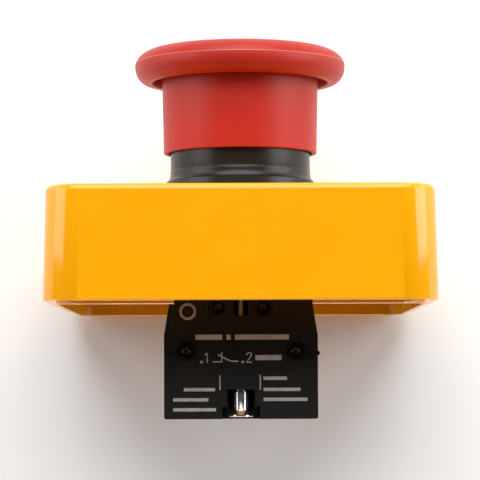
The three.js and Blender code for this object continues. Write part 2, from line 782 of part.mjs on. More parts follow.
function rearShell() {
  let shell = plate(blockOutline, blockNear, rearShellFace);
  for (const { x, z } of pinPlaces) {
    shell = cut(shell, crossBar(pinHole, blockNear + pinSeat, splitY + 1, small, x, z));
  }
  const [back, front] = [mechNear, splitY + 1];
  const recess = pusherRadius + 0.5;
  const guide = plungerHalf + gap;
  shell = cut(
    shell,
    block(-recess, recess, blockNear - 1, front, recessFloor, blockTop + 1),
    block(-guide, guide, back, front, cavityTop - 1, recessFloor + 1),
    block(-cavityHalf, cavityHalf, back, front, cavityLow, cavityTop),
    block(-contactCoil - 1, contactCoil + 1, back, front, chamberLow + contactSeat, cavityLow + 1),
  );
  for (const side of [-1, 1]) {
    const riserSlot = [riserIn - gap + 0.05, chamberOut];
    const armSlot = [cavityHalf - 1, chamberOut];
    const [r0, r1] = side > 0 ? riserSlot : [-riserSlot[1], -riserSlot[0]];
    const [a0, a1] = side > 0 ? armSlot : [-armSlot[1], -armSlot[0]];
    shell = cut(
      shell,
      terminalSpace(side),
      block(r0, r1, back, front, clampLow - gap, armHigh + gap),
      block(a0, a1, back, front, armLow - gap, armHigh + gap),
    );
  }
  return cut(shell, fixingSpace);
}

add('block_shell_front', frontShell(), 'black');
add('block_shell_rear', rearShell(), 'black');

pinPlaces.forEach(({ x, z }, i) => {
  const rear = blockNear + pinSeat + gap;
  const crown = blockFace - 0.45;
  const pin = turned([
    [0, 0], [pinRadius, 0], [pinRadius, crown - rear - 0.5],
    [pinRadius * 0.7, crown - rear - 0.12], [0, crown - rear],
  ], small);
  const mesh = add(`housing_pin_${i + 1}`, pin, 'black');
  mesh.position.set(x, rear, z);
  mesh.rotation.x = -Math.PI / 2;
});

// plunger: its flange stops it under the roof of the cavity, and its foot pushes the bridge
const plunger = join(
  block(-plungerHalf, plungerHalf, plungerNear, plungerFar, bridgeTop + gap, plungerTop),
  block(
    -flangeHalf, flangeHalf, plungerNear, plungerFar,
    cavityTop - flangeDrop - flangeThick, cavityTop - flangeDrop,
  ),
);
add('plunger', plunger, 'red');

const contactTip = (side, low, high) => bar(tipRadius, low, high, small, side * tipAt, mechMiddle);
const bridge = join(
  block(-bridgeHalf, bridgeHalf, plungerNear, plungerFar, bridgeTop - bridgeThick, bridgeTop),
  ...[-1, 1].map((side) => contactTip(side, bridgeTop - 0.1, bridgeTop + tipTall)),
);
add('contact_bridge', bridge, 'brass');

const contactFoot = chamberLow + contactSeat + gap;
const contactHead = bridgeTop - bridgeThick - gap;
const contactPath = new Coil(contactCoil, contactWire, contactFoot, contactHead, contactTurns, mechMiddle);
add('contact_spring', wire(contactPath, contactWire, 5, contactTurns * coilSteps), 'steel');

// terminals, each a folded strip with a silver tip, a clamp washer and its screw
for (const [i, side] of [-1, 1].entries()) {
  const number = i + 1;
  const sided = (x0, x1, ...rest) => (side > 0 ? block(x0, x1, ...rest) : block(-x1, -x0, ...rest));
  const strip = join(
    sided(tipAt - 1.5, riserOut, plungerNear, plungerFar, armLow, armHigh),
    sided(riserIn, riserOut, plungerNear, plungerFar, clampLow, armHigh),
    sided(chamberIn + 0.4, riserOut, plungerNear, blockFace - shellWall - gap, clampLow, clampHigh),
    contactTip(side, tipFoot, armHigh - 0.1),
  );
  const hole = bar(terminalScrew + gap, clampLow - 1, clampHigh + 1, small, side * terminalX, splitY);
  add(`terminal_${number}`, cut(strip, hole), 'brass');

  const place = new THREE.Group();
  place.position.set(side * terminalX, splitY, washerFoot - gap);
  place.rotation.x = Math.PI;
  station.add(place);
  const spec = {
    radius: terminalScrew,
    length: clampHigh - washerFoot + gap + 0.2,
    head: terminalHead,
    headTall: terminalHeadTall,
    drive: 'cross',
  };
  add(`terminal_screw_${number}`, screw(spec), 'steel', place);
  const half = washerSide / 2;
  const washer = cut(
    block(-half, half, -half, half, -gap - washerThick, -gap),
    bar(terminalScrew + gap, -3, 3, small),
  );
  add(`clamp_washer_${number}`, washer, 'steel', place);
}

// fixing screw: its shoulder sits under the ledge of the front shell and its thread ends in
// the plate of the mounting collar
const shoulderHigh = slotTop - gap;
const fixingBody = turned([
  [0, headEnd], [fixHead, headEnd], [fixHead, headEnd + 0.5], [fixShank, headEnd + 1.3],
  [fixShank, shoulderHigh], [fixThread, shoulderHigh], [fixThread, plateTop - 0.5],
  [fixThread - 0.4, plateTop - 0.1], [0, plateTop - 0.1],
], medium);
const driverSlot = block(-fixHead - 1, fixHead + 1, -0.4, 0.4, headEnd - 1, headEnd + 1.5);
const fixing = add('fixing_screw', cut(fixingBody, driverSlot), 'steel');
fixing.position.y = fixScrewY;

// ---------------------------------------------------------------- lying on the cover's side

const frontEnd = -capTop;
const backEnd = -blockEnd;
station.rotation.x = Math.PI / 2;
station.position.set(0, -(frontEnd + backEnd) / 2, coverSide / 2);

export default station;
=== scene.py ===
import json
import math
from functools import partial
from types import SimpleNamespace

import bmesh
import bpy
from mathutils import Matrix, Vector


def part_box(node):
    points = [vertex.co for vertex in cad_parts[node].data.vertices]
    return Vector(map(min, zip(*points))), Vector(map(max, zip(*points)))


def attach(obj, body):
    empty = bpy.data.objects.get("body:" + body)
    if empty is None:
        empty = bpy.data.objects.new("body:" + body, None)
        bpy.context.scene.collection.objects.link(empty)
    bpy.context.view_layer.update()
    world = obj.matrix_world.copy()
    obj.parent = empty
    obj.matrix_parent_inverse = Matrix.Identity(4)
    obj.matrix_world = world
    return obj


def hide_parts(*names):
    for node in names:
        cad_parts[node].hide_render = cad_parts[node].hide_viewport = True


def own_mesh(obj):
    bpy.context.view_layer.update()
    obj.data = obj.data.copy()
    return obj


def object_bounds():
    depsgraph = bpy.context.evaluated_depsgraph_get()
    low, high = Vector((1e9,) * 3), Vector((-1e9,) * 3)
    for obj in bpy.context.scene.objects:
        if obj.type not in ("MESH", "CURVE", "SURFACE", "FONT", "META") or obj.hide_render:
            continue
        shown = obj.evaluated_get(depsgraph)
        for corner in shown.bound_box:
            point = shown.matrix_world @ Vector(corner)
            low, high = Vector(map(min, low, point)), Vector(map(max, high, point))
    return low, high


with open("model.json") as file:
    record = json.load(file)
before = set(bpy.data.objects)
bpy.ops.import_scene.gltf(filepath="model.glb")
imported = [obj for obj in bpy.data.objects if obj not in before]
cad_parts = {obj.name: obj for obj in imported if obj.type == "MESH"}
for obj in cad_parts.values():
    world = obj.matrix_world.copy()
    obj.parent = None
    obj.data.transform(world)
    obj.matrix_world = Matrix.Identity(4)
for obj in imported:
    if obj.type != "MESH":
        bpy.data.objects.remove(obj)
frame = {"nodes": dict(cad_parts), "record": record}        # bodies, nodes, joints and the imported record
cad_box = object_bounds()    # the object's box before anything is replaced

# A mushroom-head stop station: a square yellow cover with the button on its panel, and behind it the
# mounting collar and one normally closed contact block.
bl_info = {
    "name": "Stop station",
    "version": (1, 0, 0),
    "blender": (4, 5, 0),
    "location": "View3D > Sidebar > Station",
    "description": "Builds the finished surfaces of a mushroom-head stop station around its frame",
    "category": "Object",
}

# Every shape is drawn in the button's own frame, in millimetres: the origin is the middle of the cover's
# rim plane, +Z points out of the panel along the button's axis, and the contact block's printed face
# looks along +Y. to_row carries that frame into the model's, in metres.
rim_point = next(m for m in frame["record"]["mounts"] if m["name"] == "cover_rim")["pos_m"]
axis_point = sum(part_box("mushroom_cap"), Vector()) / 2
to_row = (
    Matrix.Translation((axis_point.x, rim_point[1], axis_point.z))
    @ Matrix.Rotation(math.pi / 2, 4, "X")
    @ Matrix.Scale(0.001, 4)
)

ROUND = 128                # sides of the large round pieces
FINE = 48                  # sides of small round pieces
PAST = 1.0                 # how far a cutter reaches past what it cuts, mm
SINK = 0.5                 # how far a rib or boss reaches into the wall that carries it, mm
INK_LIFT = 0.03            # how far printing stands off what it is printed on, mm
PARTING_LINE = 0.18        # width of the pale line where the mould's halves met, mm
CREASE = math.radians(42)  # an edge sharper than this isn't shaded smooth
SAME_PLANE = 0.999995      # of the dot product of two faces' normals
FAR_SMALLER = 0.3          # share of a plane's area


# ---------------------------------------------------------------- sizes and colours

def length(name, description, millimetres):
    """A size property, kept in metres as Blender's lengths are."""
    return bpy.props.FloatProperty(
        name=name, description=description, default=millimetres / 1000,
        min=0, precision=5, subtype="DISTANCE", unit="LENGTH",
    )


def colour(name, description, code):
    """A colour property whose default is an sRGB hex code."""
    return bpy.props.FloatVectorProperty(
        name=name, description=description, default=linear(code), size=3,
        min=0, max=1, subtype="COLOR",
    )


def linear(code):
    """An sRGB hex code as linear red, green and blue."""
    parts = [int(code[i:i + 2], 16) / 255 for i in (1, 3, 5)]
    return tuple(p / 12.92 if p <= 0.04045 else ((p + 0.055) / 1.055) ** 2.4 for p in parts)


class CoverSizes(bpy.types.PropertyGroup):
    wall: length("Wall", "Thickness of the side walls at the rim", 2.85)
    panel: length("Panel", "Thickness of the panel", 2.5)
    corner: length("Corner", "Radius of the upright corners", 6.5)
    edge: length("Edge", "Radius of the edge around the panel", 1.1)
    draft: bpy.props.FloatProperty(
        name="Draft", description="Lean of the side walls", default=math.radians(1.2), subtype="ANGLE",
    )
    tongue: length("Tongue", "Width of the lip inside the rim", 0.55)
    break_left: length("Break left", "Where the break in the lip starts, from the middle", -12.8)
    break_right: length("Break right", "Where the break in the lip ends, from the middle", 11.9)
    rib: length("Rib", "Thickness of the ribs inside the side walls", 1.2)
    rib_depth: length("Rib depth", "How far a rib stands off its wall", 1.8)
    rib_offset: length("Rib offset", "Of a rib from the middle of its wall", 14.0)
    boss: length("Boss", "Radius of the screw bosses", 4.9)
    hole: length("Hole", "Radius of the button's hole in the panel", 11.15)
    key: length("Key", "Width of the keyway beside that hole", 3.2)


class MushroomSizes(bpy.types.PropertyGroup):
    skirt_wall: length("Skirt wall", "Thickness of the skirt at its lower edge", 0.95)
    groove: length("Groove", "Width of the groove between the skirt and the rim", 1.75)
    rim_depth: length("Rim depth", "Rounding under the rim's widest part, across", 2.6)
    shoulder: length("Shoulder", "Rounding above the rim's widest part, across", 4.4)
    rim_height: length("Rim height", "Thickness of the rounded rim", 6.5)
    dome: length("Dome", "Rise of the top from its edge to its middle", 0.25)
    parting: length("Parting line", "Height of the moulding line that runs around the rim", 0.05)
    arrow_radius: length("Arrow radius", "Of the turn arrows on top", 11.0)
    arrow_width: length("Arrow width", "Of an arrow's shaft", 1.1)
    arrows: bpy.props.IntProperty(
        name="Arrows", description="Number of turn arrows on top", default=3, min=1,
    )


class CollarSizes(bpy.types.PropertyGroup):
    flare: length("Flare", "How far the foot of the bezel collar flares out", 0.85)
    flare_height: length("Flare height", "Height of that flare", 1.5)
    land: length("Land", "Height of the straight edge below the flare", 2.8)
    bead: length("Bead", "Height of the fine step above the flare", 0.05)


class BlockSizes(bpy.types.PropertyGroup):
    shell: length("Shell", "Wall of the two shells", 1.3)
    edge: length("Edge", "Rounding of the moulded edges", 0.22)
    pin_recess: length("Pin recess", "Radius of the dish around a pin's head", 2.0)
    notch: length("Notch", "Width of the notch around the fixing screw's head", 7.1)
    slot: length("Slot", "Width of the slot around the fixing screw's shank", 5.2)
    sight: length("Sight slot", "Width of the slot at the top that shows the screw", 2.7)
    pad: length("Pad", "Width of the shallow finger pads", 2.1)


class Colours(bpy.types.PropertyGroup):
    yellow: colour("Yellow", "Gloss ABS of the cover", "#F7A707")
    red: colour("Red", "Polyamide of the mushroom", "#B2281B")
    black: colour("Black", "Polyamide of the bezel collar", "#1F1C19")
    block: colour("Block black", "Polyamide of the contact block", "#12120F")
    ink: colour("Ink", "Printing on the contact block", "#ADAEAC")
    white: colour("White", "Turn arrows", "#EDEBE6")
    floor: colour("Floor", "Paper that the station lies on", "#F8F8F8")


class Sizes(bpy.types.PropertyGroup):
    cover: bpy.props.PointerProperty(type=CoverSizes)
    mushroom: bpy.props.PointerProperty(type=MushroomSizes)
    collar: bpy.props.PointerProperty(type=CollarSizes)
    block: bpy.props.PointerProperty(type=BlockSizes)
    colours: bpy.props.PointerProperty(type=Colours)


def sizes():
    return bpy.context.scene.stop_station


def mm(metres):
    return metres * 1000


def local_box(*nodes):
    """Lowest and highest corner of CAD nodes in the button's own frame, in millimetres."""
    back = to_row.inverted()
    corners = [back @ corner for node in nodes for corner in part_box(node)]
    low = Vector(min(c[i] for c in corners) for i in range(3))
    high = Vector(max(c[i] for c in corners) for i in range(3))
    return low, high


def middle(node):
    low, high = local_box(node)
    return (low + high) / 2


# ---------------------------------------------------------------- meshes

def solid(points, faces):
    """A closed mesh with its faces pointing out."""
    work = bmesh.new()
    corners = [work.verts.new(point) for point in points]
    for face in faces:
        work.faces.new([corners[i] for i in face])
    return closed(work)


def closed(work):
    """Merges a bmesh's doubles, turns its faces out, and gives it back as a mesh."""
    bmesh.ops.remove_doubles(work, verts=work.verts, dist=1e-4)
    bmesh.ops.recalc_face_normals(work, faces=work.faces)
    mesh = bpy.data.meshes.new("solid")
    work.to_mesh(mesh)
    work.free()
    return mesh


def together(meshes):
    """Several meshes as one, without joining their volumes."""
    work = bmesh.new()
    for mesh in meshes:
        work.from_mesh(mesh)
    mesh = bpy.data.meshes.new("group")
    work.to_mesh(mesh)
    work.free()
    return mesh


def arc(cx, cz, rx, rz, start, end, steps):
    """Points on an arc, or on part of an ellipse, from one angle to another in degrees."""
    angles = [math.radians(start + (end - start) * i / steps) for i in range(steps + 1)]
    return [(cx + rx * math.cos(a), cz + rz * math.sin(a)) for a in angles]


def strips(count, rows, wrap_rows=False):
    """Faces between rows of points, each row running round and closing on itself."""
    last = rows if wrap_rows else rows - 1
    return [
        (
            row * count + i, row * count + (i + 1) % count,
            (row + 1) % rows * count + (i + 1) % count, (row + 1) % rows * count + i,
        )
        for row in range(last) for i in range(count)
    ]


def turned(outline, sides=FINE, x=0, y=0):
    """A body turned about Z: the outline is (radius, height) and closes on the axis or on itself."""
    turns = [2 * math.pi * i / sides for i in range(sides)]
    points = [(x + r * math.cos(a), y + r * math.sin(a), z) for r, z in outline for a in turns]
    return solid(points, strips(sides, len(outline), wrap_rows=outline[0][0] != 0))


def bar(radius, z0, z1, sides=FINE, x=0, y=0):
    return turned([(0, z0), (radius, z0), (radius, z1), (0, z1)], sides, x, y)


def cross_bar(radius, y0, y1, x, z, sides=FINE):
    """A round bar along Y."""
    mesh = bar(radius, -y1, -y0, sides)
    mesh.transform(Matrix.Translation((x, 0, z)) @ Matrix.Rotation(math.pi / 2, 4, "X"))
    return mesh


def block(x0, x1, y0, y1, z0, z1):
    points = [(x, y, z) for z in (z0, z1) for x, y in ((x0, y0), (x1, y0), (x1, y1), (x0, y1))]
    return solid(points, [*strips(4, 2), (3, 2, 1, 0), (4, 5, 6, 7)])


def loft(levels):
    """A body through outlines of (x, y) with equal numbers of points, each at its own height."""
    count = len(levels[0][1])
    points = [(x, y, z) for z, outline in levels for x, y in outline]
    top = (len(levels) - 1) * count
    caps = [tuple(reversed(range(count))), tuple(range(top, top + count))]
    return solid(points, [*strips(count, len(levels)), *caps])


def prism(outline, y0, y1):
    """An outline in X and Z carried along Y."""
    mesh = loft([(-y1, outline), (-y0, outline)])
    mesh.transform(Matrix.Rotation(math.pi / 2, 4, "X"))
    return mesh


def rounded_square(half, radius, steps=12):
    inner = half - radius
    corners = ((inner, inner), (-inner, inner), (-inner, -inner), (inner, -inner))
    return [
        point for i, (cx, cy) in enumerate(corners)
        for point in arc(cx, cy, radius, radius, i * 90, i * 90 + 90, steps)
    ]


def rounded(outline, radius, steps=4):
    """A polygon with its corners rounded."""
    points = []
    for i, corner in enumerate(outline):
        here = Vector(corner)
        before = (Vector(outline[i - 1]) - here).normalized()
        after = (Vector(outline[(i + 1) % len(outline)]) - here).normalized()
        half_angle = before.angle(after) / 2
        reach = radius / math.tan(half_angle)
        start, end = here + before * reach, here + after * reach
        for k in range(steps + 1):
            t = k / steps
            points.append(tuple(start * (1 - t) ** 2 + here * 2 * t * (1 - t) + end * t * t))
    return points


def shown(mesh, name="work"):
    piece = bpy.data.objects.new(name, mesh)
    bpy.context.scene.collection.objects.link(piece)
    return piece


def result_of(piece):
    """The mesh that an object's modifiers make."""
    evaluated = piece.evaluated_get(bpy.context.evaluated_depsgraph_get())
    return bpy.data.meshes.new_from_object(evaluated)


def boolean(mesh, tools, operation):
    """A mesh with other closed meshes joined to it or cut from it."""
    for tool_mesh in tools:
        body, tool = shown(mesh), shown(tool_mesh)
        step = body.modifiers.new(operation, "BOOLEAN")
        step.operation, step.solver, step.object = operation, "EXACT", tool
        mesh = result_of(body)
        bpy.data.objects.remove(body)
        bpy.data.objects.remove(tool)
    return mesh


def cut(mesh, *tools):
    return boolean(mesh, tools, "DIFFERENCE")


def join(mesh, *tools):
    return boolean(mesh, tools, "UNION")


def fine_copy(node):
    """A CAD node's shape as flat faces with merged corners, ready for its edges to be rounded."""
    work = bmesh.new()
    work.from_mesh(frame["nodes"][node].data)
    work.transform(to_row.inverted())
    same_point, same_plane = 2e-3, math.radians(0.7)
    bmesh.ops.remove_doubles(work, verts=work.verts, dist=same_point)
    bmesh.ops.dissolve_limit(work, angle_limit=same_plane, verts=work.verts, edges=work.edges)
    mesh = bpy.data.meshes.new(node)
    work.to_mesh(mesh)
    work.free()
    return mesh


def flatten_planes(mesh):
    """Shades a plane flat where everything that runs smoothly into it is far smaller."""
    work = bmesh.new()
    work.from_mesh(mesh)
    plane, areas = {}, []
    for seed in work.faces:
        if seed in plane:
            continue
        plane[seed], found, area = len(areas), [seed], 0.0
        while found:
            face = found.pop()
            area += face.calc_area()
            for other in (other for edge in face.edges for other in edge.link_faces):
                if other not in plane and other.normal.dot(seed.normal) > SAME_PLANE:
                    plane[other] = len(areas)
                    found.append(other)
        areas.append(area)
    beside = [0.0] * len(areas)
    for edge in work.edges:
        numbers = {plane[face] for face in edge.link_faces}
        if len(numbers) == 2 and edge.calc_face_angle(math.pi) < CREASE:
            one, two = numbers
            beside[one], beside[two] = max(beside[one], areas[two]), max(beside[two], areas[one])
    for face in work.faces:
        face.smooth = beside[plane[face]] > FAR_SMALLER * areas[plane[face]]
    work.to_mesh(mesh)
    work.free()


def finish_piece(mesh, name, body, finish, nodes=(), edge=0.0, painted_edge_highlight=None):
    """Rounds a mesh's edges, smooths it, gives it its finish and sets it on its body; a second finish
    paints a highlight on the rounded edges.
    """
    mesh.shade_smooth()
    mesh.materials.clear()
    # an optional second finish is a painted highlight for the rounded edges
    for layer in (finish, painted_edge_highlight) if painted_edge_highlight else (finish,):
        mesh.materials.append(finish_named(layer))
    piece = shown(mesh, name)
    if edge:
        bevel = piece.modifiers.new("edge", "BEVEL")
        bevel.width, bevel.segments = edge, 2
        bevel.limit_method, bevel.angle_limit = "ANGLE", math.radians(30)
        # the bevel's faces take the second finish, a painted highlight along the edges
        bevel.material = 1 if painted_edge_highlight else -1
        piece.data = result_of(piece)
        piece.modifiers.clear()
    piece.data.set_sharp_from_angle(angle=CREASE)
    flatten_planes(piece.data)
    piece.data.name = name
    piece.data.transform(to_row)
    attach(piece, body)
    if nodes:
        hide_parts(*nodes)
    return piece


# ---------------------------------------------------------------- node trees

def add_node(tree, kind, inputs=None, **settings):
    """Adds a node with its settings; an input is linked to a node or socket, and is set otherwise."""
    made = tree.nodes.new(kind)
    for key, value in settings.items():
        setattr(made, key, value)
    for key, value in (inputs or {}).items():
        if isinstance(value, bpy.types.Node):
            value = next(socket for socket in value.outputs if socket.enabled)
        if isinstance(value, bpy.types.NodeSocket):
            tree.links.new(value, made.inputs[key])
        else:
            made.inputs[key].default_value = value
    return made


def geometry_tree(name, inputs):
    """A geometry node tree with named inputs: what adds its nodes, its start and what ends it."""
    tree = bpy.data.node_groups.new(name, "GeometryNodeTree")
    tree.interface.new_socket("Geometry", in_out="OUTPUT", socket_type="NodeSocketGeometry")
    tree.interface.new_socket("Geometry", in_out="INPUT", socket_type="NodeSocketGeometry")
    for label, kind in {**inputs, "Material": "Material"}.items():
        tree.interface.new_socket(label, in_out="INPUT", socket_type=f"NodeSocket{kind}")
    add = partial(add_node, tree)
    start = add("NodeGroupInput").outputs

    def end(geometry):
        real = add("GeometryNodeRealizeInstances", {"Geometry": geometry})
        painted = add("GeometryNodeSetMaterial", {"Geometry": real, "Material": start["Material"]})
        add("NodeGroupOutput", {"Geometry": painted})
        return tree

    return add, start, end


def copies_tree():
    """Copies of one piece on points, each turned about its own axis by a step and by chance."""
    add, start, end = geometry_tree("copies_on_points", {
        "Piece": "Object", "Turn Step": "Float", "Loose Turn": "Float", "Seed": "Int",
    })
    piece = add("GeometryNodeObjectInfo", {"Object": start["Piece"]})
    index = add("GeometryNodeInputIndex")
    most = 3    # the random value's upper limit has the same name in each of its data types
    loose = add("FunctionNodeRandomValue", {
        most: start["Loose Turn"], "ID": index, "Seed": start["Seed"],
    }, data_type="FLOAT")
    turn = add("ShaderNodeMath", {0: index, 1: start["Turn Step"], 2: loose}, operation="MULTIPLY_ADD")
    return end(add("GeometryNodeInstanceOnPoints", {
        "Points": start["Geometry"], "Instance": piece.outputs["Geometry"],
        "Rotation": add("ShaderNodeCombineXYZ", {"Z": turn}),
    }))


def turned_tree():
    """An outline of (radius, 0, height) points turned about Z on a grid of rings."""
    add, start, end = geometry_tree("turned_body", {"Sides": "Int"})
    outline, sides = start["Geometry"], start["Sides"]
    rows = add("GeometryNodeAttributeDomainSize", {"Geometry": outline}).outputs["Point Count"]
    across = add("ShaderNodeMath", {0: sides, 1: 1}, operation="ADD")
    grid = add("GeometryNodeMeshGrid", {"Vertices X": rows, "Vertices Y": across})
    index = add("GeometryNodeInputIndex")
    safe_index = add("ShaderNodeMath", {0: index, 1: 0.5}, operation="ADD")
    rows_done = add("ShaderNodeMath", {0: safe_index, 1: across}, operation="DIVIDE")
    row = add("ShaderNodeMath", {0: rows_done}, operation="FLOOR")
    row_start = add("ShaderNodeMath", {0: row, 1: across}, operation="MULTIPLY")
    step = add("ShaderNodeMath", {0: index, 1: row_start}, operation="SUBTRACT")
    turns = add("ShaderNodeMath", {0: step, 1: sides}, operation="DIVIDE")
    found = add("GeometryNodeSampleIndex", {
        "Geometry": outline, "Value": add("GeometryNodeInputPosition"), "Index": row,
    }, data_type="FLOAT_VECTOR")
    point = add("ShaderNodeVectorRotate", {
        "Vector": found, "Angle": add("ShaderNodeMath", {0: turns, 1: 2 * math.pi}, operation="MULTIPLY"),
    }, rotation_type="Z_AXIS")
    body = add("GeometryNodeSetPosition", {"Geometry": grid, "Position": point})
    return end(add("GeometryNodeMergeByDistance", {"Geometry": body, "Distance": 1e-4}))


def coil_tree():
    """A compression spring that stands on 0, with end turns that lie flat."""
    names = ("Radius", "Wire", "Height", "Turns", "Flat Turns")
    add, start, end = geometry_tree("coil_spring", dict.fromkeys(names, "Float"))
    radius, wire, height, turns, flat = (start[name] for name in names)
    points = add("GeometryNodeResampleCurve", {
        "Curve": add("GeometryNodeCurvePrimitiveLine"), "Count": 600,
    })
    along = add("GeometryNodeSplineParameter").outputs["Factor"]
    turned_by = add("ShaderNodeMath", {0: along, 1: turns}, operation="MULTIPLY")
    angle = add("ShaderNodeMath", {0: turned_by, 1: 2 * math.pi}, operation="MULTIPLY")
    flat_share = add("ShaderNodeMath", {0: flat, 1: turns}, operation="DIVIDE")
    rise = add("ShaderNodeMapRange", {
        "Value": along, "From Min": flat_share, "To Max": 1.0,
        "From Max": add("ShaderNodeMath", {0: 1.0, 1: flat_share}, operation="SUBTRACT"),
    })
    from_middle = add("ShaderNodeMath", {0: along, 1: 0.5}, operation="SUBTRACT")
    slope = add("ShaderNodeMath", {0: wire, 1: 0.4}, operation="MULTIPLY")
    tilt = add("ShaderNodeMath", {0: from_middle, 1: slope}, operation="MULTIPLY")
    ends = add("ShaderNodeMath", {0: wire, 1: 2.5}, operation="MULTIPLY")
    travel = add("ShaderNodeMath", {0: height, 1: ends}, operation="SUBTRACT")
    level = add("ShaderNodeMath", {0: rise, 1: travel, 2: wire}, operation="MULTIPLY_ADD")
    lift = add("ShaderNodeMath", {0: level, 1: tilt}, operation="ADD")
    point = add("ShaderNodeVectorRotate", {
        "Vector": add("ShaderNodeCombineXYZ", {"X": radius, "Z": lift}), "Angle": angle,
    }, rotation_type="Z_AXIS")
    return end(add("GeometryNodeCurveToMesh", {
        "Curve": add("GeometryNodeSetPosition", {"Geometry": points, "Position": point}),
        "Profile Curve": add("GeometryNodeCurvePrimitiveCircle", {"Resolution": 12, "Radius": wire}),
        "Fill Caps": True,
    }))


def printed_tree():
    """Flat printed strokes along lines in the XY plane."""
    add, start, end = geometry_tree("printed_lines", {"Stroke": "Float", "Thickness": "Float"})
    lines = add("GeometryNodeMeshToCurve", {"Mesh": start["Geometry"]})
    section = add("GeometryNodeCurvePrimitiveQuadrilateral", {
        "Width": start["Stroke"], "Height": start["Thickness"],
    })
    return end(add("GeometryNodeCurveToMesh", {
        "Curve": add("GeometryNodeSetCurveNormal", {"Curve": lines}, mode="Z_UP"),
        "Profile Curve": section, "Fill Caps": True,
    }))


def tree_named(name, build):
    return bpy.data.node_groups.get(name) or build()


def made_by(tree, mesh, finish, inputs):
    """What a node tree makes from a mesh in a finish, as a plain mesh; inputs go by their labels."""
    piece = shown(mesh)
    step = piece.modifiers.new(tree.name, "NODES")
    step.node_group = tree
    inputs = {**inputs, "Material": finish_named(finish)}
    for item in tree.interface.items_tree:
        if item.name in inputs:
            step[item.identifier] = inputs[item.name]
    result = result_of(piece)
    bpy.data.objects.remove(piece)
    return result


def points_mesh(points, edges=()):
    mesh = bpy.data.meshes.new("points")
    mesh.from_pydata(points, edges, [])
    return mesh


def copies(mesh, points, finish, step=0.0, loose=0.0, seed=0):
    """Copies of a mesh on points, made by the copies tree."""
    piece = shown(mesh, "pattern")
    made = made_by(tree_named("copies_on_points", copies_tree), points_mesh(points), finish, {
        "Piece": piece, "Turn Step": step, "Loose Turn": loose, "Seed": seed,
    })
    bpy.data.objects.remove(piece)
    return made


def revolved(outline, finish):
    """A large turned body, made by the turned tree from its outline of (radius, height)."""
    points = [(r, 0, z) for r, z in outline]
    edges = [(i, i + 1) for i in range(len(points) - 1)]
    mesh, tree = points_mesh(points, edges), tree_named("turned_body", turned_tree)
    made = made_by(tree, mesh, finish, {"Sides": ROUND})
    work = bmesh.new()
    work.from_mesh(made)
    return closed(work)


def coil(node, finish, radius, wire, turns):
    """A compression spring that fills its CAD node's height."""
    low, high = local_box(node)
    made = made_by(tree_named("coil_spring", coil_tree), points_mesh([(0, 0, 0)]), finish, {
        "Radius": radius, "Wire": wire, "Height": high.z - low.z, "Turns": turns, "Flat Turns": 0.75,
    })
    centre = (low + high) / 2
    made.transform(Matrix.Translation((round(centre.x, 1), centre.y, low.z)))
    return made


# ---------------------------------------------------------------- finishes

def finish_named(finish):
    """A finish's material, made once from its settings and called by its name."""
    return bpy.data.materials.get(finish.__name__) or textured(finish.__name__, **finish())


def textured(name, shades, rough, clouds, grains, depth, constants, stretch=(1, 1, 1)):
    """A material with clouds between two shades of colour, and grain in its gloss and its surface.

    Clouds and grains are (size in mm, detail), rough is (least, most) and depth is the bump's in mm.
    """
    material = bpy.data.materials.new(name)
    material.use_nodes = True
    material.node_tree.nodes.clear()
    add = partial(add_node, material.node_tree)
    place = add("ShaderNodeMapping", {
        "Vector": add("ShaderNodeTexCoord").outputs["Object"], "Scale": [1000 * s for s in stretch],
    })
    cloud, grain = (
        add("ShaderNodeTexNoise", {"Vector": place, "Scale": 1 / size, "Detail": detail}).outputs["Fac"]
        for size, detail in (clouds, grains)
    )
    tint, gloss = (
        add("ShaderNodeMapRange", {
            "Value": value, "From Min": 0.3, "From Max": 0.7, "To Min": least, "To Max": most,
        })
        for value, (least, most) in ((cloud, (0, 1)), (grain, rough))
    )
    first, second = 6, 7    # a colour mix has inputs of the same names in each of its data types
    shader = add("ShaderNodeBsdfPrincipled", {
        "Base Color": add("ShaderNodeMix", {
            "Factor": tint, first: (*shades[0], 1), second: (*shades[1], 1),
        }, data_type="RGBA"),
        "Roughness": gloss,
        "Normal": add("ShaderNodeBump", {"Height": grain, "Distance": depth / 1000, "Strength": 1.0}),
        **constants,
    })
    add("ShaderNodeOutputMaterial", {"Surface": shader})
    return material


def tinted(base, factor):
    return tuple(min(channel * factor, 1) for channel in base)


def moulded(base, rough, grain, depth, mottle=0.06, cloud=9.0, sheen=0.5):
    """A moulded plastic: soft clouds of colour, the mould's grain in its gloss and its surface.

    An eroded mould's grain is near 0.1 mm; it is drawn two to five times as coarse, so that it shows.
    """
    return dict(
        shades=(tinted(base, 1 - mottle), tinted(base, 1 + mottle)),
        rough=(rough * 0.88, rough * 1.14), clouds=(cloud, 2.0), grains=(grain, 3.0), depth=depth,
        constants={"Specular IOR Level": sheen},
    )


def metal(base, rough, grain, depth, stretch=(1, 1, 1), mottle=0.1):
    """A metal: grain along its machining or casting, in its colour, gloss and surface.

    Turning and rolling marks are near 0.1 mm; they too are drawn coarser, so that they show.
    """
    return dict(
        shades=(tinted(base, 1 - mottle), base), rough=(rough * 0.8, rough * 1.25),
        clouds=(grain, 4.0), grains=(grain, 4.0), depth=depth, stretch=stretch,
        constants={"Metallic": 1.0},
    )


def polished_yellow_abs():
    """Gloss ABS from a polished mould: saturated, with faint flow clouds and a soft orange peel."""
    return moulded(sizes().colours.yellow, rough=0.15, grain=6.0, depth=0.004, mottle=0.02, cloud=22)


def grained_red_polyamide():
    """Polyamide from a spark-eroded mould: a fine matt grain that pales where light skims it."""
    return moulded(
        sizes().colours.red, rough=0.44, grain=0.3, depth=0.006, mottle=0.05, cloud=7, sheen=0.32,
    )


def parting_line_red():
    """Polyamide stretched along the mould's parting line: a little paler and glossier."""
    return moulded(linear("#CA5749"), rough=0.4, grain=0.3, depth=0.004)


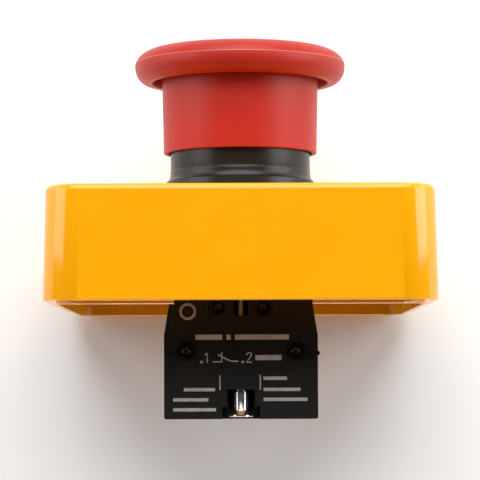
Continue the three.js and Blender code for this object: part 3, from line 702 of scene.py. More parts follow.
def satin_black_polyamide():
    """Glass-filled polyamide: warm black with a satin, slightly uneven skin."""
    return moulded(
        sizes().colours.black, rough=0.31, grain=0.4, depth=0.008, mottle=0.2, cloud=5, sheen=0.34,
    )


def block_polyamide():
    """Flame-retardant polyamide of the contact block: deep black and nearly smooth."""
    return moulded(sizes().colours.block, rough=0.36, grain=0.5, depth=0.008, mottle=0.2, cloud=6)


def painted_edge_highlight_polyamide():
    """The block's moulded edges with a painted highlight: a black five times paler and a little glossier
    than its faces.
    """
    base = tinted(sizes().colours.block, 5.0)
    return moulded(base, rough=0.28, grain=0.5, depth=0.006, mottle=0.2, cloud=3)


def turned_white_acetal():
    """Turned acetal: milky and even, with a faint grain."""
    return moulded(linear("#E8E6DE"), rough=0.34, grain=0.6, depth=0.006, mottle=0.03)


def dull_black_rubber():
    """Nitrile rubber: dull black with a bloom of fine dust."""
    return moulded(linear("#1C1C1B"), rough=0.72, grain=0.25, depth=0.02, mottle=0.25)


def cast_zinc():
    """Die-cast zinc: grey, with the cloudy skin that the die leaves."""
    return metal(linear("#A3A4A2"), rough=0.42, grain=1.4, depth=0.02, mottle=0.22)


def zinc_plated_steel():
    """Zinc-plated steel: bright and slightly blue, with fine turning marks around its axis."""
    return metal(linear("#C6C9CC"), rough=0.26, grain=0.5, depth=0.006, stretch=(1, 6, 1))


def drawn_spring_steel():
    """Drawn spring wire: a darker steel with a short, fine grain."""
    return metal(linear("#A9ABAD"), rough=0.3, grain=0.3, depth=0.004)


def polished_chromed_steel():
    """Polished chromed steel: nearly a mirror, with faint polishing waves."""
    return metal(linear("#E3E5E6"), rough=0.2, grain=1.2, depth=0.004, mottle=0.04)


def rolled_contact_brass():
    """Stamped brass strip: warm yellow with fine rolling lines."""
    return metal(linear("#C8A75C"), rough=0.3, grain=0.5, depth=0.005, stretch=(6, 1, 1))


def printing_ink():
    """Pad-printed grey ink: thin and uneven, so that it greys where it wears away."""
    return moulded(sizes().colours.ink, rough=0.55, grain=0.25, depth=0.004, mottle=0.16, cloud=1.2)


def white_filler():
    """White enamel pressed into the moulded arrows: smooth, with a slightly sunk skin."""
    return moulded(sizes().colours.white, rough=0.4, grain=0.5, depth=0.01, mottle=0.03, cloud=2)


def floor_paper():
    """Matt studio paper: nearly white, with a faint tooth."""
    return moulded(sizes().colours.floor, rough=0.9, grain=0.8, depth=0.01, mottle=0.004, cloud=60)


# ---------------------------------------------------------------- pieces

def drive_recess(kind, head, top, deep):
    """The cutter for a screw's drive, centred on its axis."""
    long, half = head * 0.64, head * 0.12
    levels = (top - deep, top + PAST)
    slot = block(-long, long, -half, half, *levels)
    return slot if kind == "slot" else join(slot, block(-half, half, -long, long, *levels))


def screw_blank(head, head_tall, shank, length, kind, pitch):
    """A screw with its head's seat at 0: pan head, drive recess and a thread of rings."""
    round_over, edge, tip, neck = head_tall * 0.45, 0.15, 0.6, 0.5
    crown = arc(head - round_over, head_tall - round_over, round_over, round_over, 0, 90, 6)
    turns = int((length - tip - neck - 0.4) / pitch)
    root = shank - pitch * 0.45
    thread = []
    for i in range(turns):
        z = -length + tip + i * pitch
        thread += [(root, z), (shank, z + pitch * 0.42), (shank, z + pitch * 0.58)]
    thread.append((root, -length + tip + turns * pitch))
    outline = [
        (0, -length), (shank * 0.7, -length), *thread, (shank, -neck), (shank, 0),
        (head - edge, 0), (head, edge), *crown, (0, head_tall),
    ]
    return cut(turned(outline), drive_recess(kind, head, head_tall, head_tall * 0.5))


class Piece(bpy.types.Operator):
    bl_options = {"REGISTER", "UNDO"}


class STATION_OT_cover(Piece):
    """Builds the square cover with its ribs, screw bosses and button hole"""
    bl_idname = "station.cover"
    bl_label = "Cover"

    def execute(self, context):
        size = sizes().cover
        low, high = local_box("station_cover")
        lean = math.tan(size.draft)
        half, wall, corner = high.x, mm(size.wall), mm(size.corner)
        edge, tongue = mm(size.edge), mm(size.tongue)
        back = high.z - mm(size.panel)
        inner_corner, least_corner = corner - wall, 0.3
        tip, soft, root, rim_edge = 0.12, 0.5, 0.05, 0.2

        def outside(z, inset=0.0):
            return z, rounded_square(half - z * lean - inset, corner - inset)

        def inside(z, inset=0.0):
            radius = max(inner_corner - inset, least_corner)
            return z, rounded_square(half - wall - z * lean - inset, radius)

        roof = [inside(back - soft + z, soft - x) for x, z in reversed(arc(0, 0, soft, soft, 0, 90, 4))]
        lip = half - wall + tongue
        levels = [
            *roof,
            inside(low.z + tip), inside(low.z, -tip),
            (low.z, rounded_square(lip - tip, inner_corner + tongue - tip)),
            (low.z + tip, rounded_square(lip, inner_corner + tongue)),
            (-root, rounded_square(lip, inner_corner + tongue)),
            (0, rounded_square(lip + root, inner_corner + tongue + root)),
            (0, rounded_square(half - rim_edge, corner - rim_edge)),
            (0.3 * rim_edge, rounded_square(half - 0.3 * rim_edge, corner - 0.3 * rim_edge)),
            outside(rim_edge),
            *[outside(high.z - edge + z, edge - x) for x, z in arc(0, 0, edge, edge, 0, 90, 8)],
        ]
        near, safe = half - wall, 0.5
        cover = cut(loft(levels), block(
            mm(size.break_left), mm(size.break_right), near - PAST, half - safe, low.z - PAST, 0,
        ))

        rib_foot, boss_foot = 4.0, 6.0
        rib, stand, offset = mm(size.rib) / 2, mm(size.rib_depth), mm(size.rib_offset)
        added = []
        for side in (-1, 1):
            reach = sorted((side * (near - stand), side * (near + 2 * SINK)))
            for along in (-offset, offset):
                added.append(block(*reach, along - rib, along + rib, rib_foot, back + SINK))
                added.append(block(along - rib, along + rib, *reach, rib_foot, back + SINK))
        cutters = []
        for number in range(1, 5):
            place = middle(f"cover_screw_{number}")
            seal_low, seal_high = local_box(f"cover_screw_seal_{number}")
            gap, bore, below, above = 0.3, 2.2, -2 * PAST, high.z + PAST
            floor, seat = seal_low.z - gap, (seal_high.x - seal_low.x) / 2 + gap
            added.append(bar(mm(size.boss), boss_foot, back + SINK, FINE, place.x, place.y))
            cutters.append(turned(
                [(0, below), (bore, below), (bore, floor), (seat, floor), (seat, above), (0, above)],
                FINE, place.x, place.y,
            ))
        hole, key, key_deep = mm(size.hole), mm(size.key) / 2, 1.6
        through = (back - PAST, high.z + PAST)
        way = join(
            bar(hole, *through, ROUND),
            block(-key, key, hole - 2 * PAST, hole + key_deep, *through),
        )
        cover = cut(join(cover, together(added)), together(cutters), way)
        finish_piece(
            cover, "cover_shell", "station", polished_yellow_abs, ["station_cover"],
            edge=0.18,
        )
        return {"FINISHED"}


class STATION_OT_cover_screws(Piece):
    """Sets a screw and its sealing ring in each corner of the cover"""
    bl_idname = "station.cover_screws"
    bl_label = "Cover screws"

    def execute(self, context):
        low, high = local_box("cover_screw_1")
        head, head_tall = (high.x - low.x) / 2, 2.2
        seat = high.z - head_tall
        screw = screw_blank(head, high.z - seat, shank=1.9, length=seat - low.z, kind="cross", pitch=0.8)
        spots = [middle(f"cover_screw_{n}") for n in range(1, 5)]
        points = [(p.x, p.y, seat) for p in spots]
        screws = copies(screw, points, zinc_plated_steel, loose=2 * math.pi, seed=4)
        finish_piece(
            screws, "cover_screws", "station", zinc_plated_steel,
            [f"cover_screw_{n}" for n in range(1, 5)],
        )
        ring_low, ring_high = local_box("cover_screw_seal_1")
        outer, tall = (ring_high.x - ring_low.x) / 2, ring_high.z - ring_low.z
        bore, edge = 2.25, 0.2
        ring = turned([
            (bore, edge), (bore + edge, 0), (outer - edge, 0), (outer, edge), (outer, tall - edge),
            (outer - edge, tall), (bore + edge, tall), (bore, tall - edge),
        ])
        points = [(p.x, p.y, ring_low.z) for p in spots]
        finish_piece(
            copies(ring, points, dull_black_rubber), "cover_screw_seals", "station",
            dull_black_rubber, [f"cover_screw_seal_{n}" for n in range(1, 5)],
        )
        return {"FINISHED"}


class STATION_OT_bezel(Piece):
    """Builds the bezel collar on the panel, its gasket and its lip seal"""
    bl_idname = "station.bezel"
    bl_label = "Bezel collar"

    def execute(self, context):
        size = sizes().collar
        low, high = local_box("bezel_collar")
        gasket = local_box("panel_gasket")[1]
        flare, bead, rise = mm(size.flare), mm(size.bead), mm(size.flare_height)
        radius, flare_top = high.x - flare, low.z + mm(size.land) + rise
        bore, roof_bore, roof = 11.3, 8.9, high.z - 1.4
        gap, foot_edge, top_edge, bore_edge, bead_tall = 0.3, 0.15, 0.4, 0.2, 0.7
        inner, step = gasket.x + gap, gasket.z + gap
        bead_top = flare_top + bead_tall
        outline = [
            (inner, low.z), (high.x - foot_edge, low.z), (high.x, low.z + foot_edge),
            *arc(high.x, flare_top, flare - bead, rise, 270, 180, 14)[1:],
            (radius + bead, bead_top - 0.15), (radius + bead - 0.06, bead_top - 0.04), (radius, bead_top),
            *arc(radius - top_edge, high.z - top_edge, top_edge, top_edge, 0, 90, 5),
            (roof_bore + bore_edge, high.z), (roof_bore, high.z - bore_edge), (roof_bore, roof),
            (bore, roof), (bore, step), (inner, step),
        ]
        finish_piece(
            revolved([*outline, outline[0]], satin_black_polyamide), "bezel", "station",
            satin_black_polyamide, ["bezel_collar"],
        )
        for node, name in (("panel_gasket", "panel_gasket_ring"), ("lip_seal", "lip_seal_ring")):
            low, high = local_box(node)
            tall, inner, bulge = high.z - low.z, bore + (gap if node == "panel_gasket" else 0), 0.15
            outline = [
                (inner, low.z + bulge), (inner + bulge, low.z), (high.x - bulge, low.z),
                *arc(high.x - bulge, low.z + tall / 2, bulge, tall / 2, -90, 90, 8),
                (inner + bulge, high.z), (inner, high.z - bulge),
            ]
            if node == "lip_seal":
                outline = [
                    (inner, low.z), (high.x - 0.4, low.z), (high.x, high.z - 0.1),
                    (high.x - 0.1, high.z), (high.x - 0.6, high.z), (high.x - 0.9, low.z + 0.85),
                    (inner + 0.6, low.z + 0.8), (inner, low.z + 0.8),
                ]
            finish_piece(
                revolved([*outline, outline[0]], dull_black_rubber), name, "station",
                dull_black_rubber, [node],
            )
        return {"FINISHED"}


def dome_height(top, dome, edge, r):
    return top - dome * (r / edge) ** 2


class STATION_OT_mushroom(Piece):
    """Builds the mushroom with its skirt, rounded rim and turn arrows"""
    bl_idname = "station.mushroom"
    bl_label = "Mushroom"

    def execute(self, context):
        size = sizes().mushroom
        low, high = local_box("mushroom_cap")
        rim_x, rim_z = mm(size.rim_depth), mm(size.rim_height) / 2
        shoulder = mm(size.shoulder)
        dome, edge = mm(size.dome), high.x - shoulder
        widest = high.z - dome - rim_z
        slide = 0.35        # the gap in which the skirt slides over the bezel
        bore = local_box("bezel_collar")[1].x - mm(sizes().collar.flare) + slide
        foot = bore + mm(size.skirt_wall)
        skirt = foot + slide
        lip = skirt + mm(size.groove)
        recess, roof = widest - 0.4, widest - 0.8
        spring = local_box("return_spring")[1]
        boss, boss_foot = spring.x + 0.1, spring.z + 0.3
        boss_bore, boss_roof = 2.9, roof - 0.5
        parting, parting_wide = widest + 0.55, 0.09
        rim = []
        under = arc(high.x - rim_x, widest, rim_x, rim_z, -90, 0, 22)
        over = arc(edge, widest, shoulder, rim_z, 0, 90, 28)
        for r, z in [*under, *over[1:]]:
            ridge = math.exp(-((z - parting) / parting_wide) ** 2) if r > edge else 0
            rim.append((min(r + mm(size.parting) * ridge, high.x), z))
        crown = [(edge * s, dome_height(high.z, dome, edge, edge * s)) for s in (0.9, 0.75, 0.6, 0.4, 0.2)]
        outline = [
            (0, boss_roof), (boss_bore, boss_roof), (boss_bore, boss_foot), (boss, boss_foot),
            (boss, roof - 0.5), *arc(boss + 0.5, roof - 0.5, 0.5, 0.5, 180, 90, 3)[1:],
            *arc(bore - 0.5, roof - 0.5, 0.5, 0.5, 90, 0, 3),
            (bore, low.z + 0.3), (bore + 0.12, low.z + 0.06), (bore + 0.3, low.z),
            (foot - 0.3, low.z), (foot - 0.06, low.z + 0.08), (foot, low.z + 0.3),
            (skirt, recess - 0.7), *arc(skirt + 0.6, recess - 0.6, 0.6, 0.6, 180, 90, 5),
            *arc(lip - 0.5, recess - 0.5, 0.5, 0.5, 90, 0, 5),
            (lip, widest - rim_z + 0.5), (lip + 0.12, widest - rim_z + 0.12),
            *rim[1:], *crown, (0, high.z),
        ]
        cap = revolved(outline, grained_red_polyamide)

        radius, width = mm(size.arrow_radius), mm(size.arrow_width) / 2
        sweep, head_sweep, head_wide, steps = math.radians(62), math.radians(17), 2.6 * width, 16
        outer = [(radius + width, sweep * i / steps) for i in range(steps + 1)]
        inner = [(radius - width, a) for _, a in reversed(outer)]
        tip = [(radius + head_wide, sweep), (radius, sweep + head_sweep), (radius - head_wide, sweep)]
        ground = [(r * math.cos(a), r * math.sin(a)) for r, a in [*outer, *tip, *inner]]
        count = len(ground)
        deep, skin, sunk = 0.35, 0.02, 0.08

        def arrow(bottom, top):
            def lifted(gap):
                return [
                    (x, y, dome_height(high.z, dome, edge, math.hypot(x, y)) + gap) for x, y in ground
                ]
            faces = [*strips(count, 2), tuple(reversed(range(count))), tuple(range(count, 2 * count))]
            mesh = solid([*lifted(bottom), *lifted(top)], faces)
            step = 2 * math.pi / size.arrows
            return copies(mesh, [(0, 0, 0)] * size.arrows, white_filler, step=step)

        cap = cut(cap, arrow(-deep, PAST))
        head = finish_piece(
            cap, "mushroom_head", "mushroom", grained_red_polyamide, ["mushroom_cap"],
        )
        head.data.materials.append(finish_named(parting_line_red))
        line = (to_row @ Vector((0, 0, parting))).y
        for face in head.data.polygons:
            if mm(abs(face.center.y - line)) < PARTING_LINE / 2:
                face.material_index = 1
        finish_piece(arrow(-deep - skin, -sunk), "turn_arrows", "mushroom", white_filler, edge=0.03)
        return {"FINISHED"}


class STATION_OT_stem(Piece):
    """Builds the stem, its retaining ring and the pusher at its end"""
    bl_idname = "station.stem"
    bl_label = "Stem and pusher"

    def execute(self, context):
        finish_piece(
            fine_copy("stem"), "stem_turned", "mushroom", zinc_plated_steel, ["stem"], edge=0.12,
        )
        finish_piece(
            fine_copy("stem_clip"), "retaining_ring", "mushroom", drawn_spring_steel, ["stem_clip"],
            edge=0.06,
        )
        low, high = local_box("pusher")
        radius, edge, bore, web_bore, web = high.x, 0.3, 3.4, 2.3, high.z - 0.7
        outline = [
            (bore, low.z), (radius - edge, low.z), (radius, low.z + edge), (radius, high.z - edge),
            (radius - edge, high.z), (web_bore, high.z), (web_bore, web), (bore, web),
        ]
        finish_piece(
            revolved([*outline, outline[0]], turned_white_acetal), "pusher_ring", "pusher",
            turned_white_acetal, ["pusher"],
        )
        return {"FINISHED"}


class STATION_OT_mounting(Piece):
    """Builds the operator's tube, its latch spring, the mounting collar and its clamp screws"""
    bl_idname = "station.mounting"
    bl_label = "Mounting collar"

    def execute(self, context):
        for node, name in (("operator_body", "operator_tube"), ("mounting_collar", "mounting_collar_cast")):
            finish_piece(
                fine_copy(node), name, "station", cast_zinc, [node], edge=0.2,
            )
        finish_piece(
            fine_copy("latch_clip"), "latch_spring", "station", drawn_spring_steel, ["latch_clip"],
        )
        low, high = local_box("clamp_screw_1")
        head, tall = (high.x - low.x) / 2, 1.9
        seat = low.z + tall
        screw = screw_blank(head, tall, shank=1.65, length=high.z - seat, kind="slot", pitch=0.7)
        screw.transform(Matrix.Rotation(math.pi, 4, "X"))
        spots = [middle("clamp_screw_1"), middle("clamp_screw_2")]
        points = [(p.x, p.y, seat) for p in spots]
        finish_piece(
            copies(screw, points, zinc_plated_steel, loose=math.pi, seed=9), "clamp_screws", "station",
            zinc_plated_steel, ["clamp_screw_1", "clamp_screw_2"],
        )
        return {"FINISHED"}


class STATION_OT_springs(Piece):
    """Winds the return spring in the button and the contact spring in the block"""
    bl_idname = "station.springs"
    bl_label = "Springs"

    def execute(self, context):
        springs = (
            ("return_spring", "press", {"radius": 5.4, "wire": 0.5, "turns": 6.5}),
            ("contact_spring", "plunger_slide", {"radius": 1.3, "wire": 0.22, "turns": 9.0}),
        )
        for node, joint, winding in springs:
            piece = finish_piece(
                coil(node, drawn_spring_steel, **winding), f"{node}_wound", "station",
                drawn_spring_steel, [node],
            )
            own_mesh(piece)
        return {"FINISHED"}


def mirrored(sign, inner, outer):
    """A stretch across the block on one of its sides, with its lower end first."""
    return sorted((sign * inner, sign * outer))


def block_shape():
    """What the contact block's two shells share: outline, levels, pins and the spaces cut in both."""
    low, high = local_box("block_shell_front")
    rear_low, rear_high = local_box("block_shell_rear")
    half, top, end = high.x, high.z, low.z
    pins = [middle(f"housing_pin_{n}") for n in range(1, 5)]
    upper, tall_side, corner = max(pin.z for pin in pins), 10, 0.45
    side = [(half, end), (half, top - tall_side), (half - 0.85, upper), (half - 1.5, top)]
    screw, strip = middle("fixing_screw"), local_box("terminal_1")
    screw_top, head_bore, shank_bore = end + 5.5, 2.65, 1.95
    return SimpleNamespace(
        outline=rounded([*side, *[(-x, z) for x, z in reversed(side)]], corner),
        half=half, top=top, end=end, back=rear_low.y, face=high.y, front_back=low.y,
        rear_front=rear_high.y, split=(rear_high.y + low.y) / 2,
        wall=mm(sizes().block.shell), outer=half - 1.4,
        pins=pins, pin_bore=1.2, screw=screw, screw_top=screw_top, groove=1.5,
        strip_foot=strip[0].z, strip_arm=strip[1].z,
        screw_space=join(
            bar(head_bore, end - PAST, end + 1.9, FINE, screw.x, screw.y),
            bar(shank_bore, end, screw_top, FINE, screw.x, screw.y),
        ),
    )


def terminal_space(shape, sign):
    """The cutter for a terminal's chamber, its screw's bore and the way in for its wire."""
    x, bore = abs(middle("terminal_screw_1").x), 2.9
    chamber = mirrored(sign, x - bore + 0.1, shape.outer)
    wire_way = mirrored(sign, shape.outer - PAST, shape.half + 5 * PAST)
    washer_top = local_box("clamp_washer_1")[1].z
    return join(
        block(
            *chamber, shape.back + shape.wall, shape.face - shape.wall,
            shape.end + 1, shape.strip_foot + 1.3,
        ),
        bar(bore, shape.end - PAST, shape.end + 2, FINE, sign * x, shape.split),
        block(*wire_way, shape.split - 1.7, shape.split + 1.7, washer_top, shape.strip_foot),
    )


def front_shell(shape):
    """The printed shell, with its notch, slots, pin dishes and finger pads."""
    size = sizes().block
    notch, slot, sight = (mm(width) / 2 for width in (size.notch, size.slot, size.sight))
    end, top, face, groove, dish = shape.end, shape.top, shape.face, shape.groove, mm(size.pin_recess)
    deep = (shape.front_back - PAST, face + PAST)
    dishes = [turned([(0, -1), (dish, -1), (dish - 0.12, 1), (0, 1)]) for _ in shape.pins]
    for pin, mesh in zip(shape.pins, dishes):
        mesh.transform(Matrix.Translation((pin.x, face, pin.z)) @ Matrix.Rotation(math.pi / 2, 4, "X"))
    holes = [cross_bar(shape.pin_bore, *deep, pin.x, pin.z) for pin in shape.pins]
    sight_foot = top - 6.3
    front = cut(
        prism(shape.outline, shape.front_back, face), together(dishes), together(holes),
        block(-notch, notch, *deep, end - PAST, end + 2.3),
        block(-slot, slot, *deep, end, shape.screw_top),
        block(
            -groove, groove, shape.front_back - PAST, shape.screw.y + 1.6,
            shape.screw_top - PAST, top + PAST,
        ),
        block(-sight, sight, *deep, sight_foot, top + PAST),
    )
    pad_deep, pad_foot, pad_top = 0.35, end + 4.9, end + 12.3
    for sign in (-1, 1):
        pad = mirrored(sign, shape.half - mm(size.pad), shape.half + 5 * PAST)
        front = cut(
            front, terminal_space(shape, sign),
            block(*pad, face - pad_deep, face + PAST, pad_foot, pad_top),
        )
    nub = cross_bar(0.45, shape.split + 1.6, shape.split + 3.2, -shape.half, pad_top, sides=16)
    return join(cut(front, shape.screw_space), nub)


def rear_shell(shape):
    """The plain shell, with the pusher's recess and the cavity of the bridge, spring and terminals."""
    inner, gap, arm = shape.split + PAST, 0.3, shape.strip_arm
    holes = [cross_bar(shape.pin_bore, shape.back + 0.5, inner, pin.x, pin.z) for pin in shape.pins]
    pusher_low, pusher_high = local_box("pusher")
    through = (shape.back + shape.wall, inner)
    cavity, roof, stroke = local_box("contact_bridge")[1].x + 0.5, arm + 0.9, 9.0
    floor, recess, channel = roof - stroke, pusher_low.z - 4.5, 2.3
    rear = cut(
        prism(shape.outline, shape.back, shape.rear_front), together(holes),
        block(
            pusher_low.x - 0.5, pusher_high.x + 0.5, shape.back - PAST, inner, recess, shape.top + PAST,
        ),
        block(-shape.groove, shape.groove, *through, roof - PAST, recess + PAST),
        block(-cavity, cavity, *through, floor, roof),
        block(-channel, channel, *through, shape.end + 1.9, floor + PAST),
    )
    for sign in (-1, 1):
        riser = mirrored(sign, shape.outer - 1.35, shape.outer)
        reach = mirrored(sign, cavity - PAST, shape.outer)
        rear = cut(
            rear, terminal_space(shape, sign),
            block(*riser, *through, shape.strip_foot - gap, arm + gap),
            block(*reach, *through, arm - 1.1, arm + gap),
        )
    return cut(rear, shape.screw_space)


def housing_pin():
    """A pin that stands on 0 along Y, with a domed head."""
    low, high = local_box("housing_pin_1")
    radius, tall, edge, dome = (high.x - low.x) / 2, high.y - low.y, 0.2, 0.55
    pin = turned([
        (0, 0), (radius - edge, 0), (radius, edge), (radius, tall - dome),
        *arc(0, tall - dome, radius, dome, 0, 90, 8)[1:],
    ])
    pin.transform(Matrix.Rotation(-math.pi / 2, 4, "X"))
    return pin


class STATION_OT_contact_block(Piece):
    """Builds the two shells of the contact block and the pins that hold them together"""
    bl_idname = "station.contact_block"
    bl_label = "Contact block"

    def execute(self, context):
        shape = block_shape()
        for mesh, name, node in (
            (front_shell(shape), "front_shell", "block_shell_front"),
            (rear_shell(shape), "rear_shell", "block_shell_rear"),
        ):
            # the shells' rounded edges get a painted highlight: a paler, glossier black than their faces
            finish_piece(
                mesh, name, "station", block_polyamide, [node], edge=mm(sizes().block.edge),
                painted_edge_highlight=painted_edge_highlight_polyamide,
            )
        foot = local_box("housing_pin_1")[0].y
        points = [(pin.x, foot, pin.z) for pin in shape.pins]
        finish_piece(
            copies(housing_pin(), points, block_polyamide), "housing_pins", "station",
            block_polyamide, [f"housing_pin_{n}" for n in range(1, 5)],
        )
        return {"FINISHED"}


class STATION_OT_fixing_screw(Piece):
    """Turns the chromed screw that fixes the contact block, with its flared slotted head"""
    bl_idname = "station.fixing_screw"
    bl_label = "Fixing screw"

    def execute(self, context):
        low, high = local_box("fixing_screw")
        centre = middle("fixing_screw")
        flange, shank, thread, root, tip = 2.35, 1.65, 1.25, 1.02, 0.7
        shoulder, edge, pitch = low.z + 4.8, 0.15, 0.5
        outline = [
            (0, low.z), (flange - 0.2, low.z), (flange, low.z + 0.12), (flange, low.z + 0.34),
            (flange - 0.2, low.z + 0.55), (shank + edge, low.z + 0.95), (shank, low.z + 1.3),
            (shank, shoulder - edge), (shank - edge, shoulder), (thread, shoulder),
        ]
        z = shoulder + 0.8
        while z < high.z - 1.2:
            outline += [(thread, z), (root, z + pitch / 2)]
            z += pitch
        outline += [(thread, z), (tip + edge, high.z - 0.2), (tip, high.z), (0, high.z)]
        slot, slot_deep = 0.4, 1.1
        screw = cut(
            turned(outline),
            block(-2 * flange, 2 * flange, -slot, slot, low.z - PAST, low.z + slot_deep),
        )
        screw.transform(Matrix.Translation((centre.x, centre.y, 0)))
        finish_piece(
            screw, "fixing_screw_turned", "station", polished_chromed_steel, ["fixing_screw"],
        )
        return {"FINISHED"}


class STATION_OT_contacts(Piece):
    """Builds the plunger, the contact bridge and both terminals with their clamps"""
    bl_idname = "station.contacts"
    bl_label = "Contacts"

    def execute(self, context):
        brass, steel = rolled_contact_brass, zinc_plated_steel
        finish_piece(
            fine_copy("plunger"), "plunger_moulded", "plunger", grained_red_polyamide, ["plunger"],
            edge=0.15,
        )
        pieces = [("contact_bridge", "bridge_strip", "plunger", brass, "contact_brass")]
        for n in (1, 2):
            pieces.append((f"terminal_{n}", f"terminal_strip_{n}", "station", brass, "contact_brass"))
            pieces.append((f"clamp_washer_{n}", f"clamp_plate_{n}", "station", steel, "plated_steel"))
        for node, name, body, finish, slot in pieces:
            finish_piece(fine_copy(node), name, body, finish, [node], edge=0.1)
        low, high = local_box("terminal_screw_1")
        head, tall = (high.x - low.x) / 2, 2.0
        length_under = high.z - low.z - tall
        screw = screw_blank(head, tall, shank=1.5, length=length_under, kind="cross", pitch=0.6)
        screw.transform(Matrix.Rotation(math.pi, 4, "X"))
        spots = [middle("terminal_screw_1"), middle("terminal_screw_2")]
        finish_piece(
            copies(screw, [(p.x, p.y, low.z + tall) for p in spots], steel, loose=math.pi, seed=2),
            "terminal_screws", "station", steel, ["terminal_screw_1", "terminal_screw_2"],
        )
        return {"FINISHED"}


class STATION_OT_printing(Piece):
    """Prints plain bars, the terminal numbers and a closed-contact symbol on the block"""
    bl_idname = "station.printing"
    bl_label = "Printing"

    def execute(self, context):
        low, high = local_box("block_shell_front")
        end, face = low.z, high.y
        pin = middle("housing_pin_3").z

        def strokes(lines, width):
            """Lines of (x, z) on the printed face, as the reader sees it with +X to the right."""
            points, edges = [], []
            for line in lines:
                start = len(points)
                points += [(x, z, 0) for x, z in line]
                edges += [(start + i, start + i + 1) for i in range(len(line) - 1)]
            tree, mesh = tree_named("printed_lines", printed_tree), points_mesh(points, edges)
            return made_by(tree, mesh, printing_ink, {"Stroke": width, "Thickness": 2 * INK_LIFT})

        def level(lines):
            """Level lines from (start, end, height above the block's end)."""
            return [[(x0, end + z), (x1, end + z)] for x0, x1, z in lines]

        row = pin - 1.15
        one = [[(-6.3, row - 0.9), (-6.3, row + 0.9), (-6.75, row + 0.5)]]
        two = [[
            (1.05, row + 0.5), (1.2, row + 0.8), (1.55, row + 0.95), (1.9, row + 0.8),
            (1.95, row + 0.4), (1.05, row - 0.85), (2.05, row - 0.85),
        ]]
        dots = [arc(x, row - 0.8, 0.12, 0.12, 0, 360, 28) for x in (-7.4, 0.35)]
        symbol = [
            [(-5.3, row - 0.75), (-3.6, row - 0.75), (-3.6, row + 1.0)],
            [(-4.3, row + 0.55), (-1.9, row - 0.65), (-0.5, row - 0.65)],
        ]
        bars = [[(2.7, row), (7.6, row)]]
        wide = level([(-8.5, -3.5, 15.3), (-2.7, -1.9, 15.3), (-1.1, 9.0, 15.3)])
        mark = [arc(-9.95, end + 20.1, 1.35, 1.35, 0, 360, 28)]
        uprights = [[(x, end + 5.4), (x, end + 8.2)] for x in (-3.95, 3.6)]
        left = level([(-10.7, -4.85, 5.5), (-12.7, -6.1, 3.6), (-12.7, -4.7, 1.75)])
        right = level([(4.2, 8.6, 7.6), (4.2, 11.1, 5.5), (4.2, 12.4, 3.65)])
        made = together([
            strokes(lines, width) for lines, width in (
                ([*one, *two, *symbol], 0.26), (dots, 0.3), (uprights, 0.2),
                ([*left, *right], 0.62), ([*wide, *bars], 0.95), (mark, 0.5),
            )
        ])
        for_reader = Matrix.Rotation(math.pi / 2, 4, "X") @ Matrix.Scale(-1, 4, (1, 0, 0))
        made.transform(Matrix.Translation((0, face, 0)) @ for_reader)
        work = bmesh.new()
        work.from_mesh(made)
        finish_piece(closed(work), "block_printing", "station", printing_ink)
        return {"FINISHED"}


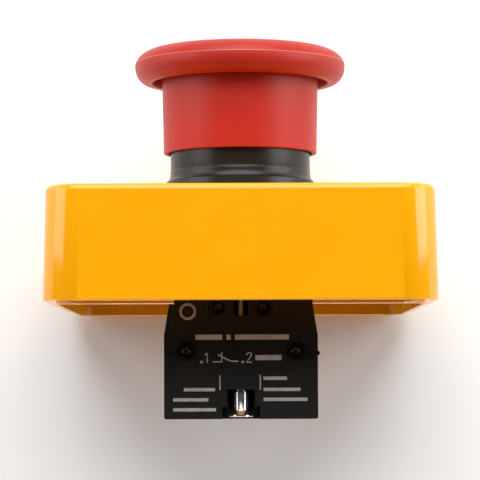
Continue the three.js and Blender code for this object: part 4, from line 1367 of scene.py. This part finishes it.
class STATION_OT_stage(Piece):
    """Lays the pale floor and sets the soft lights and the camera"""
    bl_idname = "station.stage"
    bl_label = "Stage"

    def execute(self, context):
        scene = context.scene
        half, thick, below = 1.6, 0.02, 0.0002
        floor = shown(block(-half, half, -half, half, -thick, -below), "floor")
        floor.data.materials.append(finish_named(floor_paper))

        world = bpy.data.worlds.new("studio")
        world.use_nodes = True
        tree = world.node_tree
        tree.nodes.clear()
        room, paper = (
            add_node(tree, "ShaderNodeBackground", {"Color": (1, 1, 1, 1), "Strength": strength})
            for strength in (0.03, 1.0)
        )
        seen = add_node(tree, "ShaderNodeLightPath").outputs["Is Camera Ray"]
        both = add_node(tree, "ShaderNodeMixShader", {0: seen, 1: room, 2: paper})
        add_node(tree, "ShaderNodeOutputWorld", {"Surface": both})
        scene.world = world

        def lit(name, kind, aim, **settings):
            """A light that looks along a direction, with its own settings."""
            lamp = bpy.data.lights.new(name, kind)
            for key, value in settings.items():
                setattr(lamp, key, value)
            light = bpy.data.objects.new(name, lamp)
            light.rotation_euler = aim.to_track_quat("-Z", "Y").to_euler()
            scene.collection.objects.link(light)
            return light

        centre = sum(cad_box, Vector()) / 2
        softboxes = (
            ("left_softbox", Vector((0.75, -0.22, 0.34)), 0.6, 0.58, 3.5),
            ("right_softbox", Vector((-0.75, -0.22, 0.34)), 0.6, 0.58, 5.0),
            ("low_strip", Vector((0.0, 0.85, 0.09)), 1.4, 0.14, 4.6),
        )
        for name, place, wide, tall, power in softboxes:
            lit(
                name, "AREA", centre - place, shape="RECTANGLE", size=wide, size_y=tall, energy=power,
            ).location = place
        lit("back_light", "SUN", Vector((0, 0.766, -0.643)), energy=3.5, angle=math.radians(60))

        lens = bpy.data.cameras.new("camera")
        lens.lens, lens.sensor_width = 175.2, 36.0
        lens.clip_start, lens.clip_end = 0.01, 20.0
        camera = bpy.data.objects.new("camera", lens)
        scene.collection.objects.link(camera)
        place, target = Vector((0.0001, 0.03003, 0.4835)), Vector((0.0001, 0.00132, axis_point.z))
        forward = (target - place).normalized()
        right = forward.cross(Vector((0, -1, 0))).normalized()
        up = right.cross(forward)
        turn = Matrix((right, up, -forward)).transposed()
        roll = Matrix.Rotation(math.radians(-0.2), 3, "Z")
        camera.matrix_world = Matrix.Translation(place) @ (turn @ roll).to_4x4()
        scene.camera = camera
        scene.view_settings.view_transform = "Standard"
        return {"FINISHED"}


OPERATORS = (
    STATION_OT_cover, STATION_OT_cover_screws, STATION_OT_bezel, STATION_OT_mushroom, STATION_OT_stem,
    STATION_OT_mounting, STATION_OT_springs, STATION_OT_contact_block, STATION_OT_fixing_screw,
    STATION_OT_contacts, STATION_OT_printing, STATION_OT_stage,
)


class VIEW3D_PT_stop_station(bpy.types.Panel):
    """Lists the station's pieces and sizes in the sidebar"""
    bl_idname = "VIEW3D_PT_stop_station"
    bl_label = "Stop station"
    bl_space_type = "VIEW_3D"
    bl_region_type = "UI"
    bl_category = "Station"

    def draw(self, context):
        for operator in OPERATORS:
            self.layout.operator(operator.bl_idname)
        for group in (sizes().cover, sizes().mushroom, sizes().collar, sizes().block, sizes().colours):
            box = self.layout.box()
            for name in group.__annotations__:
                box.prop(group, name)


CLASSES = (
    CoverSizes, MushroomSizes, CollarSizes, BlockSizes, Colours, Sizes, *OPERATORS, VIEW3D_PT_stop_station,
)


def register():
    for each in CLASSES:
        bpy.utils.register_class(each)
    bpy.types.Scene.stop_station = bpy.props.PointerProperty(type=Sizes)


def unregister():
    del bpy.types.Scene.stop_station
    for each in reversed(CLASSES):
        bpy.utils.unregister_class(each)


def main():
    register()
    for operator in OPERATORS:
        group, action = operator.bl_idname.split(".")
        getattr(getattr(bpy.ops, group), action)()


if __name__ == "__main__":
    main()
